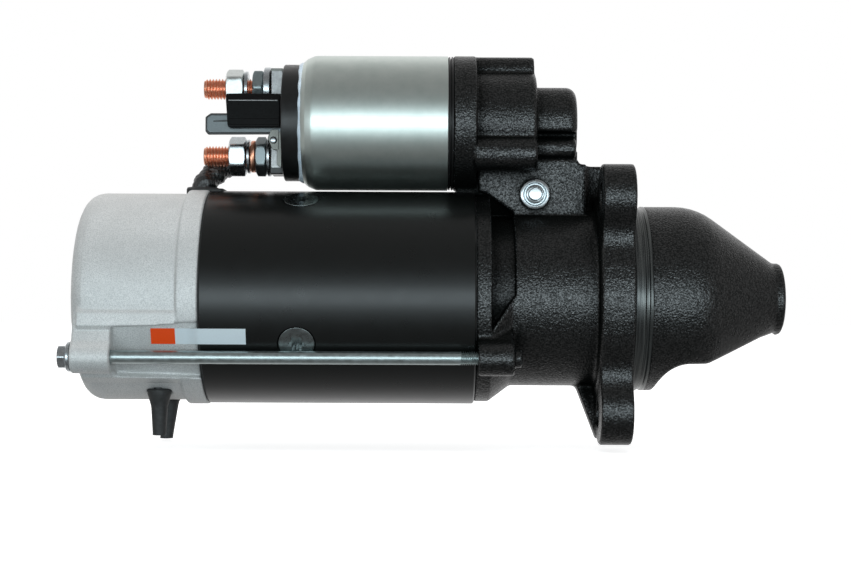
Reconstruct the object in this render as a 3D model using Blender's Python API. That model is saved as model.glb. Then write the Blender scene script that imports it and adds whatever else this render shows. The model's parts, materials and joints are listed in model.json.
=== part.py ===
"""Heavy-duty starter motor with a planetary reduction gear and a piggyback solenoid.

The constants are in millimetres and the meshes are in metres. X is the motor's own axis and points
out of the nose, and Z points up to the solenoid. Stations along X are drawn from the mounting flange's
front face, and every piece is placed so that the part's origin is the centre of the end cover's flat
rear face. Angles round the motor axis start at -Y and grow towards +Z.
"""

import math

import bmesh
import bpy
from mathutils import Matrix, Vector

MM = 0.001
GAP = 0.3            # clearance between neighbouring solids
CASING_ROUND = 32    # sides of a casing
ROUND = 24           # sides of a shaft or a gear blank
SMALL_ROUND = 12     # sides of a bolt, a pin or a tube
SMALL_PHASE = 0.31   # part of a side that small rounds are turned by, to keep off casing edges
WELD = 0.000002      # metres; boolean leftovers closer than this are one point

# Stations along the motor axis
COVER_REAR = -259.5
COVER_FRONT = -200.3
HOUSING_REAR = -72.8
FLANGE_REAR = -14.6
NOSE_CORNER = 33.1
NOSE_END = 75.1

PART_ORIGIN = Vector((COVER_REAR, 0.0, 0.0)) * MM

# Radii round the motor axis
COVER_R = 49.8
COVER_BAND_R = 51.7
YOKE_R = 51.2
YOKE_BORE = 45.5
COLLAR_R = 50.0
NECK_R = 42.3
NECK_BORE = 37.0
NOSE_R = 44.4
NOSE_BORE = 39.2
PILOT_R = 44.6
LIP_R = 17.3
NOSE_BUSH_R = 12.0
SHAFT_R = 8.0

# Mounting flange
DISC_R = 49.0
LOBE_R = 15.3
LOBE_PITCH_R = 59.0
LOBE_BLEND_R = 14.0
LOBE_HOLE_R = 6.3
LOBE_ANGLES = (53.0, 173.0, -67.0)

# Through bolts
BOLT_PITCH_R = 55.0
BOLT_R = 3.05
BOLT_ANGLES = (-30.0, 150.0)

# Cable grommet and drain tubes
GROMMET_X = -205.0
GROMMET_Y = 3.0
DRAIN_X = -221.7
DRAINS = ((-21.5, -45.4, -65.3, 0.0), (20.0, -46.2, -70.4, -0.12))   # y, top, bottom, lean

# Poles and their screws
POLE_X = -155.3
POLE_HALF_LENGTH = 29.7
POLE_ANGLES = (65.3, 155.3, -114.7, -24.7)
POLE_HALF_WIDTH = 11.0
POLE_BORE = 28.9
ARMATURE_SLOTS = 12

# Planetary gear
MODULE = 1.6
SUN_TEETH = 12
PLANET_TEETH = 15
RING_TEETH = 42
PLANET_PITCH_R = MODULE * (SUN_TEETH + PLANET_TEETH) / 2
PLANET_DIRECTIONS = (90.0, 210.0, 330.0)
PLANET_PIN_R = 4.3
GEAR_REAR = -105.5
GEAR_FRONT = -84.8

# Pinion and overrunning clutch
PINION_MODULE = 3.0
PINION_TEETH = 11
PINION_LENGTH = 25.0
CLUTCH_R = 27.0
GROOVE_R = 14.0
COLLAR_OUTER_R = 20.0
SPLINE_R = 9.6

# Solenoid
SOLENOID_Z = 84.3
SOLENOID_R = 32.4
SOLENOID_FRONT = -85.9
SOLENOID_REAR = -151.6
CAP_R = 28.1
CAP_REAR = -164.8
STUD_OFFSET = 16.3
STUD_R = 4.9
STUD_END = -203.8
BOSS_END = -171.3
SCREW_PITCH_R = 25.5
SCREW_ANGLES = (90.0, -36.0, 216.0)

# Shift lever
PIVOT_X = -44.6
PIVOT_Z = 49.4
BOX_HALF = 15.4      # half width of the lever box
UPPER_ARM = 34.9
LOWER_ARM = 49.4
LEVER_TILT = 9.85
SHOE_R = 3.7
FORK_INNER = 20.6
FORK_OUTER = 25.0

PLUNGER_PIN_X = PIVOT_X + UPPER_ARM * math.sin(math.radians(LEVER_TILT))
SHOE_X = PIVOT_X - LOWER_ARM * math.sin(math.radians(LEVER_TILT))

FINISHES = {
    "black_cast_iron": ((0.018, 0.020, 0.022), 0.45, 0.2),
    "black_paint": ((0.012, 0.013, 0.014), 0.32, 0.1),
    "cast_aluminium": ((0.60, 0.62, 0.62), 0.50, 0.85),
    "zinc_steel": ((0.62, 0.64, 0.65), 0.30, 0.95),
    "plain_steel": ((0.45, 0.45, 0.44), 0.40, 0.95),
    "gear_steel": ((0.32, 0.32, 0.33), 0.35, 0.95),
    "copper": ((0.72, 0.30, 0.17), 0.35, 0.95),
    "bronze": ((0.55, 0.38, 0.18), 0.45, 0.9),
    "carbon": ((0.05, 0.045, 0.045), 0.7, 0.1),
    "black_plastic": ((0.012, 0.012, 0.013), 0.4, 0.0),
    "black_rubber": ((0.02, 0.02, 0.021), 0.65, 0.0),
}


# ---------------------------------------------------------------- building blocks

def finish_material(name):
    """The Principled material of one named finish, made on first use."""
    found = bpy.data.materials.get(name)
    if found:
        return found
    colour, roughness, metallic = FINISHES[name]
    made = bpy.data.materials.new(name)
    made.use_nodes = True
    shader = made.node_tree.nodes["Principled BSDF"]
    shader.inputs["Base Color"].default_value = (*colour, 1.0)
    shader.inputs["Roughness"].default_value = roughness
    shader.inputs["Metallic"].default_value = metallic
    return made


def solid(name, points, faces):
    """A closed mesh from points in millimetres, with its faces turned outwards."""
    mesh = bpy.data.meshes.new(name)
    mesh.from_pydata([Vector(p) * MM for p in points], [], faces)
    work = bmesh.new()
    work.from_mesh(mesh)
    bmesh.ops.recalc_face_normals(work, faces=work.faces)
    work.to_mesh(mesh)
    work.free()
    piece = bpy.data.objects.new(name, mesh)
    bpy.context.scene.collection.objects.link(piece)
    return piece


def turned(name, profile, sides=ROUND, at=(0.0, 0.0, 0.0), axis=(1.0, 0.0, 0.0)):
    """Spins a closed profile of (along, radius) points round the axis through the point at."""
    turn = Vector((1.0, 0.0, 0.0)).rotation_difference(Vector(axis))
    phase = 0.0 if sides > SMALL_ROUND else SMALL_PHASE
    points = []
    rings = []
    for along, radius in profile:
        start = len(points)
        count = sides if radius > 0.0 else 1
        for i in range(count):
            angle = 2.0 * math.pi * (i + phase) / sides
            spot = Vector((along, radius * math.cos(angle), radius * math.sin(angle)))
            points.append(Vector(at) + turn @ spot)
        rings.append((start, count))
    faces = []
    for (a, a_count), (b, b_count) in zip(rings, rings[1:] + rings[:1]):
        if a_count == 1 and b_count == 1:
            continue
        for i in range(sides):
            j = (i + 1) % sides
            corners = [a + i % a_count, a + j % a_count, b + j % b_count, b + i % b_count]
            faces.append(list(dict.fromkeys(corners)))
    return solid(name, points, faces)


def cylinder(name, radius, start, end, sides=SMALL_ROUND, at=(0.0, 0.0, 0.0), axis=(1.0, 0.0, 0.0)):
    """A plain cylinder between two stations along its axis."""
    profile = [(start, 0.0), (start, radius), (end, radius), (end, 0.0)]
    return turned(name, profile, sides, at, axis)


def prism(name, outline, start, end, axis="X"):
    """Extrudes an outline of (u, v) points along X, Y or Z; (u, v) are the other two axes in order."""
    place = {
        "X": lambda u, v, w: (w, u, v),
        "Y": lambda u, v, w: (u, w, v),
        "Z": lambda u, v, w: (u, v, w),
    }[axis]
    count = len(outline)
    points = [place(u, v, w) for w in (start, end) for u, v in outline]
    faces = [list(range(count)), list(range(2 * count - 1, count - 1, -1))]
    for i in range(count):
        j = (i + 1) % count
        faces.append([i, j, count + j, count + i])
    return solid(name, points, faces)


def box(name, low, high):
    """A box between two corners."""
    outline = [(low[1], low[2]), (high[1], low[2]), (high[1], high[2]), (low[1], high[2])]
    return prism(name, outline, low[0], high[0])


def arc(centre, radius, start, end, steps):
    """Points on an arc, angles in degrees."""
    angles = [math.radians(start + (end - start) * i / steps) for i in range(steps + 1)]
    return [(centre[0] + radius * math.cos(a), centre[1] + radius * math.sin(a)) for a in angles]


def hexagon(corner_r, centre, first=30.0):
    """The six corners of a hexagon, with the first one in a given direction."""
    return arc(centre, corner_r, first, first + 300.0, 5)


def combine(base, others, operation):
    """Applies one boolean operation with each of the others, which are used up."""
    for other in others:
        step = base.modifiers.new(operation.lower(), "BOOLEAN")
        step.operation = operation
        step.object = other
    graph = bpy.context.evaluated_depsgraph_get()
    result = bpy.data.meshes.new_from_object(base.evaluated_get(graph))
    base.modifiers.clear()
    work = bmesh.new()
    work.from_mesh(result)
    bmesh.ops.remove_doubles(work, verts=work.verts, dist=WELD)
    bmesh.ops.holes_fill(work, edges=[e for e in work.edges if e.is_boundary], sides=4)
    work.to_mesh(result)
    work.free()
    base.data = result
    for other in others:
        bpy.data.objects.remove(other)
    return base


def join(base, *others):
    return combine(base, others, "UNION")


def cut(base, *cutters):
    return combine(base, cutters, "DIFFERENCE")


def spin_about_axis(piece, degrees):
    """Turns a piece round the motor axis, growing from -Y towards +Z."""
    piece.data.transform(Matrix.Rotation(math.radians(-degrees), 4, "X"))
    return piece


def on_ring(radius, degrees):
    """(y, z) of a point round the motor axis, measured from -Y towards +Z."""
    angle = math.radians(degrees)
    return -radius * math.cos(angle), radius * math.sin(angle)


def done(piece, finish, origin=(0.0, 0.0, 0.0), parent=None):
    """Gives a piece its finish and its origin, and shades it smooth with crisp edges."""
    offset = Vector(origin) * MM
    piece.data.transform(Matrix.Translation(-offset))
    piece.location = offset - PART_ORIGIN
    piece.data.materials.clear()
    piece.data.materials.append(finish_material(finish))
    piece.data.shade_smooth()
    piece.data.set_sharp_from_angle(angle=math.radians(35.0))
    if parent:
        piece.parent = parent
        piece.matrix_parent_inverse = parent.matrix_world.inverted()
    return piece


def pivot(name, at, parent=None):
    """An empty on a joint's axis, which carries the pieces that move with it."""
    empty = bpy.data.objects.new(name, None)
    bpy.context.scene.collection.objects.link(empty)
    empty.empty_display_size = 0.01
    empty.location = Vector(at) * MM - PART_ORIGIN
    if parent:
        empty.parent = parent
        empty.location -= parent.matrix_world.translation
    bpy.context.view_layer.update()
    return empty


# ---------------------------------------------------------------- outlines

def flange_outline(disc_r=DISC_R, lobe_r=LOBE_R):
    """A disc with three bolt lobes, joined by concave blends, as (y, z) points."""
    far = disc_r + LOBE_BLEND_R
    near = lobe_r + LOBE_BLEND_R
    cosine = (far ** 2 + LOBE_PITCH_R ** 2 - near ** 2) / (2.0 * far * LOBE_PITCH_R)
    blend_angle = math.degrees(math.acos(cosine))
    rise = far * math.sin(math.radians(blend_angle))
    lobe_angle = math.degrees(math.atan2(rise, far * cosine - LOBE_PITCH_R))
    points = []
    for lobe in sorted(LOBE_ANGLES):
        blend_centre = (far * cosine, rise)
        side = arc(blend_centre, LOBE_BLEND_R, 180.0 + blend_angle, 180.0 + lobe_angle, 4)
        side += arc((LOBE_PITCH_R, 0.0), lobe_r, lobe_angle, 0.0, 7)[1:]
        petal = [(u, -v) for u, v in side] + [(u, v) for u, v in reversed(side[:-1])]
        rest = 120.0 - 2.0 * blend_angle
        petal += arc((0.0, 0.0), disc_r, blend_angle, blend_angle + rest, 4)[1:-1]
        turn = math.radians(lobe)
        for u, v in petal:
            along = u * math.cos(turn) - v * math.sin(turn)
            across = u * math.sin(turn) + v * math.cos(turn)
            points.append((-along, across))
    return points


def involute_angle(radius, base_radius):
    pressure = math.acos(min(1.0, base_radius / radius))
    return math.tan(pressure) - pressure


def gear_outline(teeth, module, tip_r, root_r, half_play, centre=(0.0, 0.0), first=0.0):
    """Involute gear outline with a tooth centred on the direction first (degrees from +Y to +Z).

    half_play is taken off each flank at the pitch circle; a negative value grows the teeth."""
    pitch_r = module * teeth / 2.0
    base_r = pitch_r * math.cos(math.radians(20.0))
    half_pitch = math.pi / (2.0 * teeth) - half_play / pitch_r
    flank = sorted({root_r, max(root_r, base_r), tip_r})
    points = []
    for tooth in range(teeth):
        middle = math.radians(first) + 2.0 * math.pi * tooth / teeth
        half = [
            half_pitch + involute_angle(pitch_r, base_r) - involute_angle(max(r, base_r), base_r)
            for r in flank
        ]
        sides = [(r, middle - h) for r, h in zip(flank, half)]
        sides += [(r, middle + h) for r, h in reversed(list(zip(flank, half)))]
        points += [(centre[0] + r * math.cos(a), centre[1] + r * math.sin(a)) for r, a in sides]
    return points


# ---------------------------------------------------------------- casings

def housing_skin():
    """The housing's turned outside, as a solid: collar, neck, pilot ring, nose and lip."""
    cone = (NOSE_R - LIP_R) / math.tan(math.radians(35.6))
    return turned("drive_end_housing", [
        (HOUSING_REAR, 0.0), (HOUSING_REAR, COLLAR_R), (-66.5, COLLAR_R), (-56.7, NECK_R),
        (-9.0, NECK_R), (-9.0, PILOT_R), (5.8, PILOT_R), (6.8, 43.9), (7.8, NOSE_R),
        (NOSE_CORNER - 7.0, NOSE_R), (NOSE_CORNER, NOSE_R - 1.7), (NOSE_CORNER + 7.0, NOSE_R - 5.6),
        (NOSE_CORNER + cone, LIP_R), (NOSE_END - 1.5, LIP_R), (NOSE_END, LIP_R - 1.8), (NOSE_END, 0.0),
    ], CASING_ROUND)


def housing_hollow():
    """Cutter for the housing's inside, from the yoke's joint to the bush seat in the nose."""
    return turned("hollow", [
        (HOUSING_REAR - 5.0, 0.0), (HOUSING_REAR - 5.0, NECK_BORE), (-13.0, NECK_BORE),
        (-10.0, NOSE_BORE), (31.0, NOSE_BORE), (58.0, 20.3), (58.0, NOSE_BUSH_R + GAP),
        (NOSE_END + 5.0, NOSE_BUSH_R + GAP), (NOSE_END + 5.0, 0.0),
    ], CASING_ROUND)


def lever_housing():
    """Solids that carry the lever and the solenoid, on top of the neck."""
    solenoid_at = (0.0, 0.0, SOLENOID_Z)
    side = [
        (-81.0, 60.0), (-81.0, 51.5), (-72.4, 51.5), (-70.8, 50.2), (-68.0, 49.9), (-54.3, 40.2), (-54.3, 36.0), (-20.5, 36.0),
        (-20.5, 64.0), (-24.3, 66.0), (-24.3, 68.0), (-44.1, 68.0), (-44.1, 60.0),
    ]
    pieces = [
        prism("lever_box", side, -BOX_HALF, BOX_HALF, "Y"),
        prism("web", [(-26.0, 35.0), (-8.0, 35.0), (-8.0, 64.0), (-26.0, 64.0)], -7.0, 7.0, "Y"),
        cylinder("seat", SOLENOID_R + 0.1, -83.3, -72.0, CASING_ROUND, solenoid_at),
        turned("cup", [
            (-73.5, 0.0), (-73.5, 25.0), (-46.0, 25.0), (-43.8, 22.8), (-43.8, 0.0),
        ], ROUND, solenoid_at),
        turned("chamber", [
            (-48.0, 0.0), (-48.0, 16.5), (-28.0, 16.5), (-24.7, 13.2), (-24.7, 0.0),
        ], ROUND, solenoid_at),
        box("waist", (-46.5, -11.0, 62.0), (-25.1, 11.0, SOLENOID_Z + 0.7)),
    ]
    for angle in SCREW_ANGLES:
        pieces.append(cylinder("boss", 6.8, -74.0, -44.4, SMALL_ROUND, screw_centre(angle)))
    return pieces


def housing_ears():
    """Bosses for the through bolts, and ribs behind the flange's lobes."""
    pieces = []
    for angle in BOLT_ANGLES:
        y, z = on_ring(BOLT_PITCH_R, angle)
        pieces.append(cylinder("ear", 8.0, HOUSING_REAR + 0.6, -55.5, SMALL_ROUND, (0.0, y, z)))
        root = box("ear_root", (HOUSING_REAR + 1.0, -56.0, -7.4), (-56.0, -40.0, 7.4))
        pieces.append(spin_about_axis(root, angle))
    for angle, shift in ((LOBE_ANGLES[2], 8.5), (LOBE_ANGLES[1], 8.5), (LOBE_ANGLES[1], -8.5)):
        rib = prism("rib", [(-26.0, -40.0), (-12.0, -40.0), (-12.0, -69.0), (-15.5, -69.0)],
                    shift - 3.5, shift + 3.5, "Z")
        pieces.append(spin_about_axis(rib, angle))
    return pieces


def drive_end_housing():
    """One casting: collar, neck, flange, nose, lever box and solenoid seat."""
    flange = prism("flange", flange_outline(), FLANGE_REAR, 0.0)
    body = join(housing_skin(), flange, *lever_housing(), *housing_ears())
    cutters = [
        housing_hollow(),
        box("lever_slot", (-55.0, -12.0, 26.0), (-34.0, 12.0, 61.0)),
        box("plunger_slot", (-58.0, -8.0, 60.0), (-29.0, 8.0, SOLENOID_Z + 11.0)),
        cylinder("spring_bore", 17.5, -86.0, -45.7, ROUND, (0.0, 0.0, SOLENOID_Z)),
        cylinder("pivot_bore", 5.3, -30.0, 30.0, SMALL_ROUND, (PIVOT_X, 0.0, PIVOT_Z), (0, 1, 0)),
        pinion_window(),
    ]
    for angle in LOBE_ANGLES:
        y, z = on_ring(LOBE_PITCH_R, angle)
        cutters.append(cylinder("hole", LOBE_HOLE_R, -30.0, 5.0, SMALL_ROUND, (0.0, y, z)))
    for angle in BOLT_ANGLES:
        y, z = on_ring(BOLT_PITCH_R, angle)
        cutters.append(cylinder("thread", BOLT_R + GAP, -80.0, -58.0, SMALL_ROUND, (0.0, y, z)))
    for angle in SCREW_ANGLES:
        cutters.append(turned("screw_bore", [
            (-90.0, 0.0), (-90.0, 3.3), (-51.0, 3.3), (-51.0, 5.0), (-35.0, 5.0), (-35.0, 0.0),
        ], SMALL_ROUND, screw_centre(angle)))
    return done(cut(body, *cutters), "black_cast_iron")


def pinion_window():
    """Cutter for the opening under the nose, drawn from the side."""
    rise = arc((27.5, -45.0), 14.6, 172.0, 95.0, 5)
    outline = [(12.9, -60.0)] + rise + [(35.0, -30.4), (64.0, -18.5), (70.0, -16.6), (70.0, -60.0)]
    return prism("window", outline, -60.0, 60.0, "Y")


def screw_centre(angle):
    """A solenoid screw's place, round the solenoid's axis from +Y to +Z."""
    turn = math.radians(angle)
    return (0.0, SCREW_PITCH_R * math.cos(turn), SOLENOID_Z + SCREW_PITCH_R * math.sin(turn))


def grommet_notch():
    """Cutter for the cable grommet's opening, on top of the cover's joint with the yoke."""
    low = (GROMMET_X - 11.0 - GAP, GROMMET_Y - 8.0 - GAP, 38.0)
    high = (GROMMET_X + 11.0 + GAP, GROMMET_Y + 8.0 + GAP, 60.0)
    return box("notch", low, high)


def commutator_end_cover():
    """Light cup casting with the through bolts' bosses and the rear bush's hub."""
    corner = arc((COVER_REAR + 9.0, COVER_R - 9.0), 9.0, 180.0, 90.0, 4)
    skin = turned("commutator_end_cover", [(COVER_REAR, 0.0)] + corner + [
        (-210.4, COVER_R), (-210.0, COVER_BAND_R), (COVER_FRONT, COVER_BAND_R),
        (COVER_FRONT, YOKE_BORE - GAP), (-197.0, YOKE_BORE - GAP), (-197.0, 0.0),
    ], CASING_ROUND)
    hollow = turned("hollow", [
        (-190.0, 0.0), (-190.0, 42.4), (-201.5, 42.4), (-204.0, 45.8), (-244.0, 45.8),
        (-244.0, 40.0), (-255.0, 38.5), (-255.0, 13.6), (-246.0, 13.6), (-246.0, 10.3),
        (-256.8, 10.3), (-256.8, 0.0),
    ], CASING_ROUND)
    lugs = []
    cutters = [hollow, grommet_notch()]
    for angle in BOLT_ANGLES:
        y, z = on_ring(BOLT_PITCH_R, angle)
        lugs.append(cylinder("lug", 7.6, -257.7, -239.6, SMALL_ROUND, (0.0, y, z)))
        root = prism("lug_root", [(-55.5, -7.3), (-42.0, -17.0), (-42.0, 19.0), (-55.5, 7.3)],
                     -257.3, -240.0)
        lugs.append(spin_about_axis(root, angle))
        flat = box("flat", (-239.5, -70.0, -15.0), (-190.0, -47.7, 15.0))
        cutters.append(spin_about_axis(flat, angle))
        cutters.append(cylinder("bolt_hole", BOLT_R + GAP, -270.0, -230.0, SMALL_ROUND, (0.0, y, z)))
    for y, top, _, _ in DRAINS:
        cutters.append(turned("drain", [
            (-30.0, 0.0), (-30.0, 3.6), (top + GAP, 3.6), (top + GAP, 6.0), (-60.0, 6.0), (-60.0, 0.0),
        ], SMALL_ROUND, (DRAIN_X, y, 0.0), (0, 0, 1)))
    return done(cut(join(skin, *lugs), *cutters), "cast_aluminium")


def yoke_tube():
    """Steel motor body, bored through for the pole screws."""
    start = COVER_FRONT + GAP
    end = HOUSING_REAR - GAP
    yoke = turned("yoke_tube", [
        (start, YOKE_BORE), (start, YOKE_R), (end, YOKE_R), (end, YOKE_BORE),
    ], CASING_ROUND)
    cutters = [grommet_notch()]
    for angle in POLE_ANGLES:
        y, z = on_ring(1.0, angle)
        cutters.append(turned("screw_hole", [
            (40.0, 0.0), (40.0, 5.3), (47.0, 5.3), (50.8, 9.0), (56.0, 9.0), (56.0, 0.0),
        ], SMALL_ROUND, (POLE_X, 0.0, 0.0), (0.0, y, z)))
    return done(cut(yoke, *cutters), "black_paint")


# ---------------------------------------------------------------- field and brushes

def pole_shoe(number, angle):
    """Iron pole: a block under the yoke that widens into a curved shoe over the armature."""
    outer = YOKE_BORE - GAP
    lean = math.degrees(math.asin(POLE_HALF_WIDTH / outer))
    outline = arc((0, 0), outer, 180.0 - lean, 180.0 + lean, 3)
    outline += [(-32.0, -POLE_HALF_WIDTH)]
    outline += arc((0, 0), 31.8, 180.0 + 33.0, 180.0 + 36.0, 1)
    outline += arc((0, 0), POLE_BORE, 180.0 + 36.0, 180.0 - 36.0, 8)
    outline += arc((0, 0), 31.8, 180.0 - 36.0, 180.0 - 33.0, 1)
    outline += [(-32.0, POLE_HALF_WIDTH)]
    shoe = prism(f"pole_shoe_{number}", outline, POLE_X - POLE_HALF_LENGTH, POLE_X + POLE_HALF_LENGTH)
    hole = cylinder("tapped", 4.3, 36.0, 50.0, SMALL_ROUND, (POLE_X, 0.0, 0.0), (0, -1, 0))
    shoe = cut(shoe, hole)
    return done(spin_about_axis(shoe, angle), "plain_steel")


def pole_screw(number, angle):
    """Countersunk screw with a six-point socket, flush with the yoke."""
    y, z = on_ring(1.0, angle)
    screw = turned(f"pole_screw_{number}", [
        (37.0, 0.0), (37.0, 4.0), (46.6, 4.0), (50.6, 8.25), (51.0, 8.25), (51.0, 0.0),
    ], SMALL_ROUND, (POLE_X, 0.0, 0.0), (0.0, y, z))
    star = []
    for i in range(12):
        radius = 3.6 if i % 2 else 2.6
        star.append((radius * math.cos(i * math.pi / 6), radius * math.sin(i * math.pi / 6)))
    socket = prism("socket", star, -52.0, -48.2, "Y")
    socket.data.transform(Matrix.Translation(Vector((POLE_X * MM, 0, 0))))
    return done(cut(screw, spin_about_axis(socket, angle)), "zinc_steel")


def field_coils():
    """Four flat coils round the poles, joined by their end ring."""
    ring = turned("field_coils", [(-195.0, 38.0), (-195.0, 43.0), (-190.0, 43.0), (-190.0, 38.0)])
    coils = []
    windows = []
    for angle in POLE_ANGLES:
        outline = arc((0, 0), 44.8, 180.0 - 39.0, 180.0 + 39.0, 6)
        outline += arc((0, 0), 34.7, 180.0 + 39.0, 180.0 - 39.0, 6)
        coils.append(spin_about_axis(prism("coil", outline, -192.0, -118.6), angle))
        half = POLE_HALF_LENGTH + GAP
        wide = POLE_HALF_WIDTH + GAP
        window = box("window", (POLE_X - half, -60.0, -wide), (POLE_X + half, -20.0, wide))
        windows.append(spin_about_axis(window, angle))
    return done(cut(join(ring, *coils), *windows), "copper")


def brush_plate():
    """Ring plate with four brush boxes, each closed on top by its spring arm."""
    plate = turned("brush_plate", [(-243.6, 22.0), (-243.6, 42.0), (-241.2, 42.0), (-241.2, 22.0)])
    boxes = []
    hollows = []
    arms = []
    for i in range(4):
        angle = 20.3 + 90.0 * i
        boxes.append(spin_about_axis(box("box", (-242.0, -36.0, -5.5), (-220.7, -20.0, 5.5)), angle))
        hollow = box("hollow", (-238.1, -40.0, -4.3), (-221.9, -18.0, 4.3))
        hollows.append(spin_about_axis(hollow, angle))
        arm = box("arm", (-232.0, -35.6, -5.0), (-228.0, -34.0, 5.0))
        arms.append(spin_about_axis(arm, angle))
    plate = cut(join(plate, *boxes), *hollows)
    return done(join(plate, *arms), "zinc_steel")


def brush(number):
    """Carbon block that rides on the commutator."""
    block = box(f"brush_{number}", (-237.8, -32.0, -4.0), (-222.2, -18.4, 4.0))
    return done(spin_about_axis(block, 20.3 + 90.0 * (number - 1)), "carbon")


# ---------------------------------------------------------------- fasteners and small parts

def through_bolt(number, angle):
    """Long bolt from the cover's boss to the housing's boss, with its captive washer."""
    y, z = on_ring(BOLT_PITCH_R, angle)
    at = (0.0, y, z)
    bolt = turned(f"through_bolt_{number}", [
        (-260.2, 0.0), (-260.2, 6.85), (-258.0, 6.85), (-258.0, BOLT_R), (-59.0, BOLT_R), (-58.6, 0.0),
    ], SMALL_ROUND, at)
    head = prism("head", hexagon(5.77, (y, z)), -263.6, -259.8)
    return done(join(bolt, head), "zinc_steel")


def hex_nut(name, flats, start, end, z, first):
    """Hexagon nut on a stud that runs along X."""
    corner_r = flats / 2.0 / math.cos(math.radians(30.0))
    nut = prism(name, hexagon(corner_r, (0.0, z), first), start, end)
    bore = cylinder("bore", STUD_R + GAP, start - 2.0, end + 2.0, SMALL_ROUND, (0.0, 0.0, z))
    return done(cut(nut, bore), "zinc_steel")


def washer(name, outer_r, start, end, z):
    inner = STUD_R + GAP
    ring = [(start, inner), (start, outer_r), (end, outer_r), (end, inner)]
    return done(turned(name, ring, 16, (0.0, 0.0, z)), "zinc_steel")


def stud(name, side):
    """Copper terminal stud with its contact head inside the cap."""
    z = SOLENOID_Z + side * STUD_OFFSET
    rod = turned(name, [
        (STUD_END, 0.0), (STUD_END, STUD_R - 0.6), (STUD_END + 0.8, STUD_R), (-161.9, STUD_R),
        (-161.9, 6.6), (-159.4, 6.6), (-159.4, 0.0),
    ], SMALL_ROUND, (0.0, 0.0, z))
    return done(rod, "copper")


def stud_hardware():
    """Nuts and washers of both studs, from the cap outwards."""
    upper = SOLENOID_Z + STUD_OFFSET
    lower = SOLENOID_Z - STUD_OFFSET
    washer("battery_flat_washer", 10.6, -174.6, -171.6, upper)
    hex_nut("battery_inner_nut", 17.0, -180.1, -174.9, upper, 0.0)
    washer("battery_spring_washer", 8.6, -184.2, -182.2, upper)
    hex_nut("battery_outer_nut", 17.0, -192.9, -184.5, upper, 30.0)
    washer("motor_flat_washer", 9.6, -173.0, -171.6, lower)
    hex_nut("motor_inner_nut", 17.0, -178.6, -173.3, lower, 30.0)
    washer("motor_spring_washer", 8.2, -183.0, -181.3, lower)
    hex_nut("motor_outer_nut", 17.0, -191.4, -183.3, lower, 30.0)


def tube_along(name, path, radius, sides=12):
    """A round bar along a list of points, as a beveled curve with filled ends turned into a mesh."""
    curve = bpy.data.curves.new(name, "CURVE")
    curve.dimensions = "3D"
    spline = curve.splines.new("POLY")
    spline.points.add(len(path) - 1)
    for point, spot in zip(spline.points, path):
        point.co = (*(Vector(spot) * MM), 1.0)
    curve.bevel_depth = radius * MM
    curve.bevel_resolution = max(0, sides // 4 - 1)
    curve.use_fill_caps = True
    holder = bpy.data.objects.new(name, curve)
    bpy.context.scene.collection.objects.link(holder)
    graph = bpy.context.evaluated_depsgraph_get()
    mesh = bpy.data.meshes.new_from_object(holder.evaluated_get(graph))
    bpy.data.objects.remove(holder)
    work = bmesh.new()
    work.from_mesh(mesh)
    bmesh.ops.remove_doubles(work, verts=work.verts, dist=0.00001)
    bmesh.ops.recalc_face_normals(work, faces=work.faces)
    work.to_mesh(mesh)
    work.free()
    piece = bpy.data.objects.new(name, mesh)
    bpy.context.scene.collection.objects.link(piece)
    return piece


def bezier(a, b, c, d, steps):
    """Points on a cubic Bezier curve."""
    points = []
    for i in range(steps + 1):
        t = i / steps
        s = 1.0 - t
        weights = (s ** 3, 3 * s * s * t, 3 * s * t * t, t ** 3)
        points.append(sum((Vector(p) * w for p, w in zip((a, b, c, d), weights)), Vector()))
    return points


def motor_cable():
    """Sleeved cable from its lug on the motor stud into the grommet."""
    z = SOLENOID_Z - STUD_OFFSET
    drop = (GROMMET_X, GROMMET_Y, 53.2)
    path = bezier((-179.5, 18.0, z), (-192.0, 19.5, z + 2.0), (GROMMET_X + 0.5, 5.5, 61.0), drop, 8)
    path = [Vector((-176.8, 18.0, z))] + path + [Vector((GROMMET_X, GROMMET_Y, 41.0))]
    sleeve = tube_along("motor_cable", path, 5.7)
    lug = cylinder("lug", 7.7, -181.0, -178.9, SMALL_ROUND, (0.0, 0.0, z))
    tail = box("tail", (-180.9, 6.3, z - 4.0), (-179.0, 15.5, z + 4.0))
    hole = cylinder("hole", STUD_R + GAP, -190.0, -170.0, SMALL_ROUND, (0.0, 0.0, z))
    return done(cut(join(sleeve, lug, tail), hole), "black_rubber")


def cable_grommet():
    """Rubber block that closes the notch round the cable."""
    low = (GROMMET_X - 11.0, GROMMET_Y - 8.0, 46.6)
    high = (GROMMET_X + 11.0, GROMMET_Y + 8.0, 52.4)
    bore = cylinder("bore", 6.3, 30.0, 70.0, 16, (GROMMET_X, GROMMET_Y, 0.0), (0, 0, 1))
    return done(cut(box("cable_grommet", low, high), bore), "black_rubber")


def drain_tube(number, y, top, bottom, lean):
    """Rubber drain tube: a plug through the cover, a cone outside it, and an open end."""
    tube = turned(f"drain_tube_{number}", [
        (-40.0, 1.8), (-40.0, 3.3), (top, 3.3), (top, 5.5), (top - 2.0, 5.3), (top - 10.0, 3.4),
        (bottom, 3.1), (bottom, 1.8),
    ], SMALL_ROUND, (DRAIN_X, y, 0.0), (0, 0, 1))
    for vertex in tube.data.vertices:
        drop = max(0.0, top * MM - vertex.co.z)
        vertex.co.x += lean * drop
    return done(tube, "black_rubber")


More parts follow.
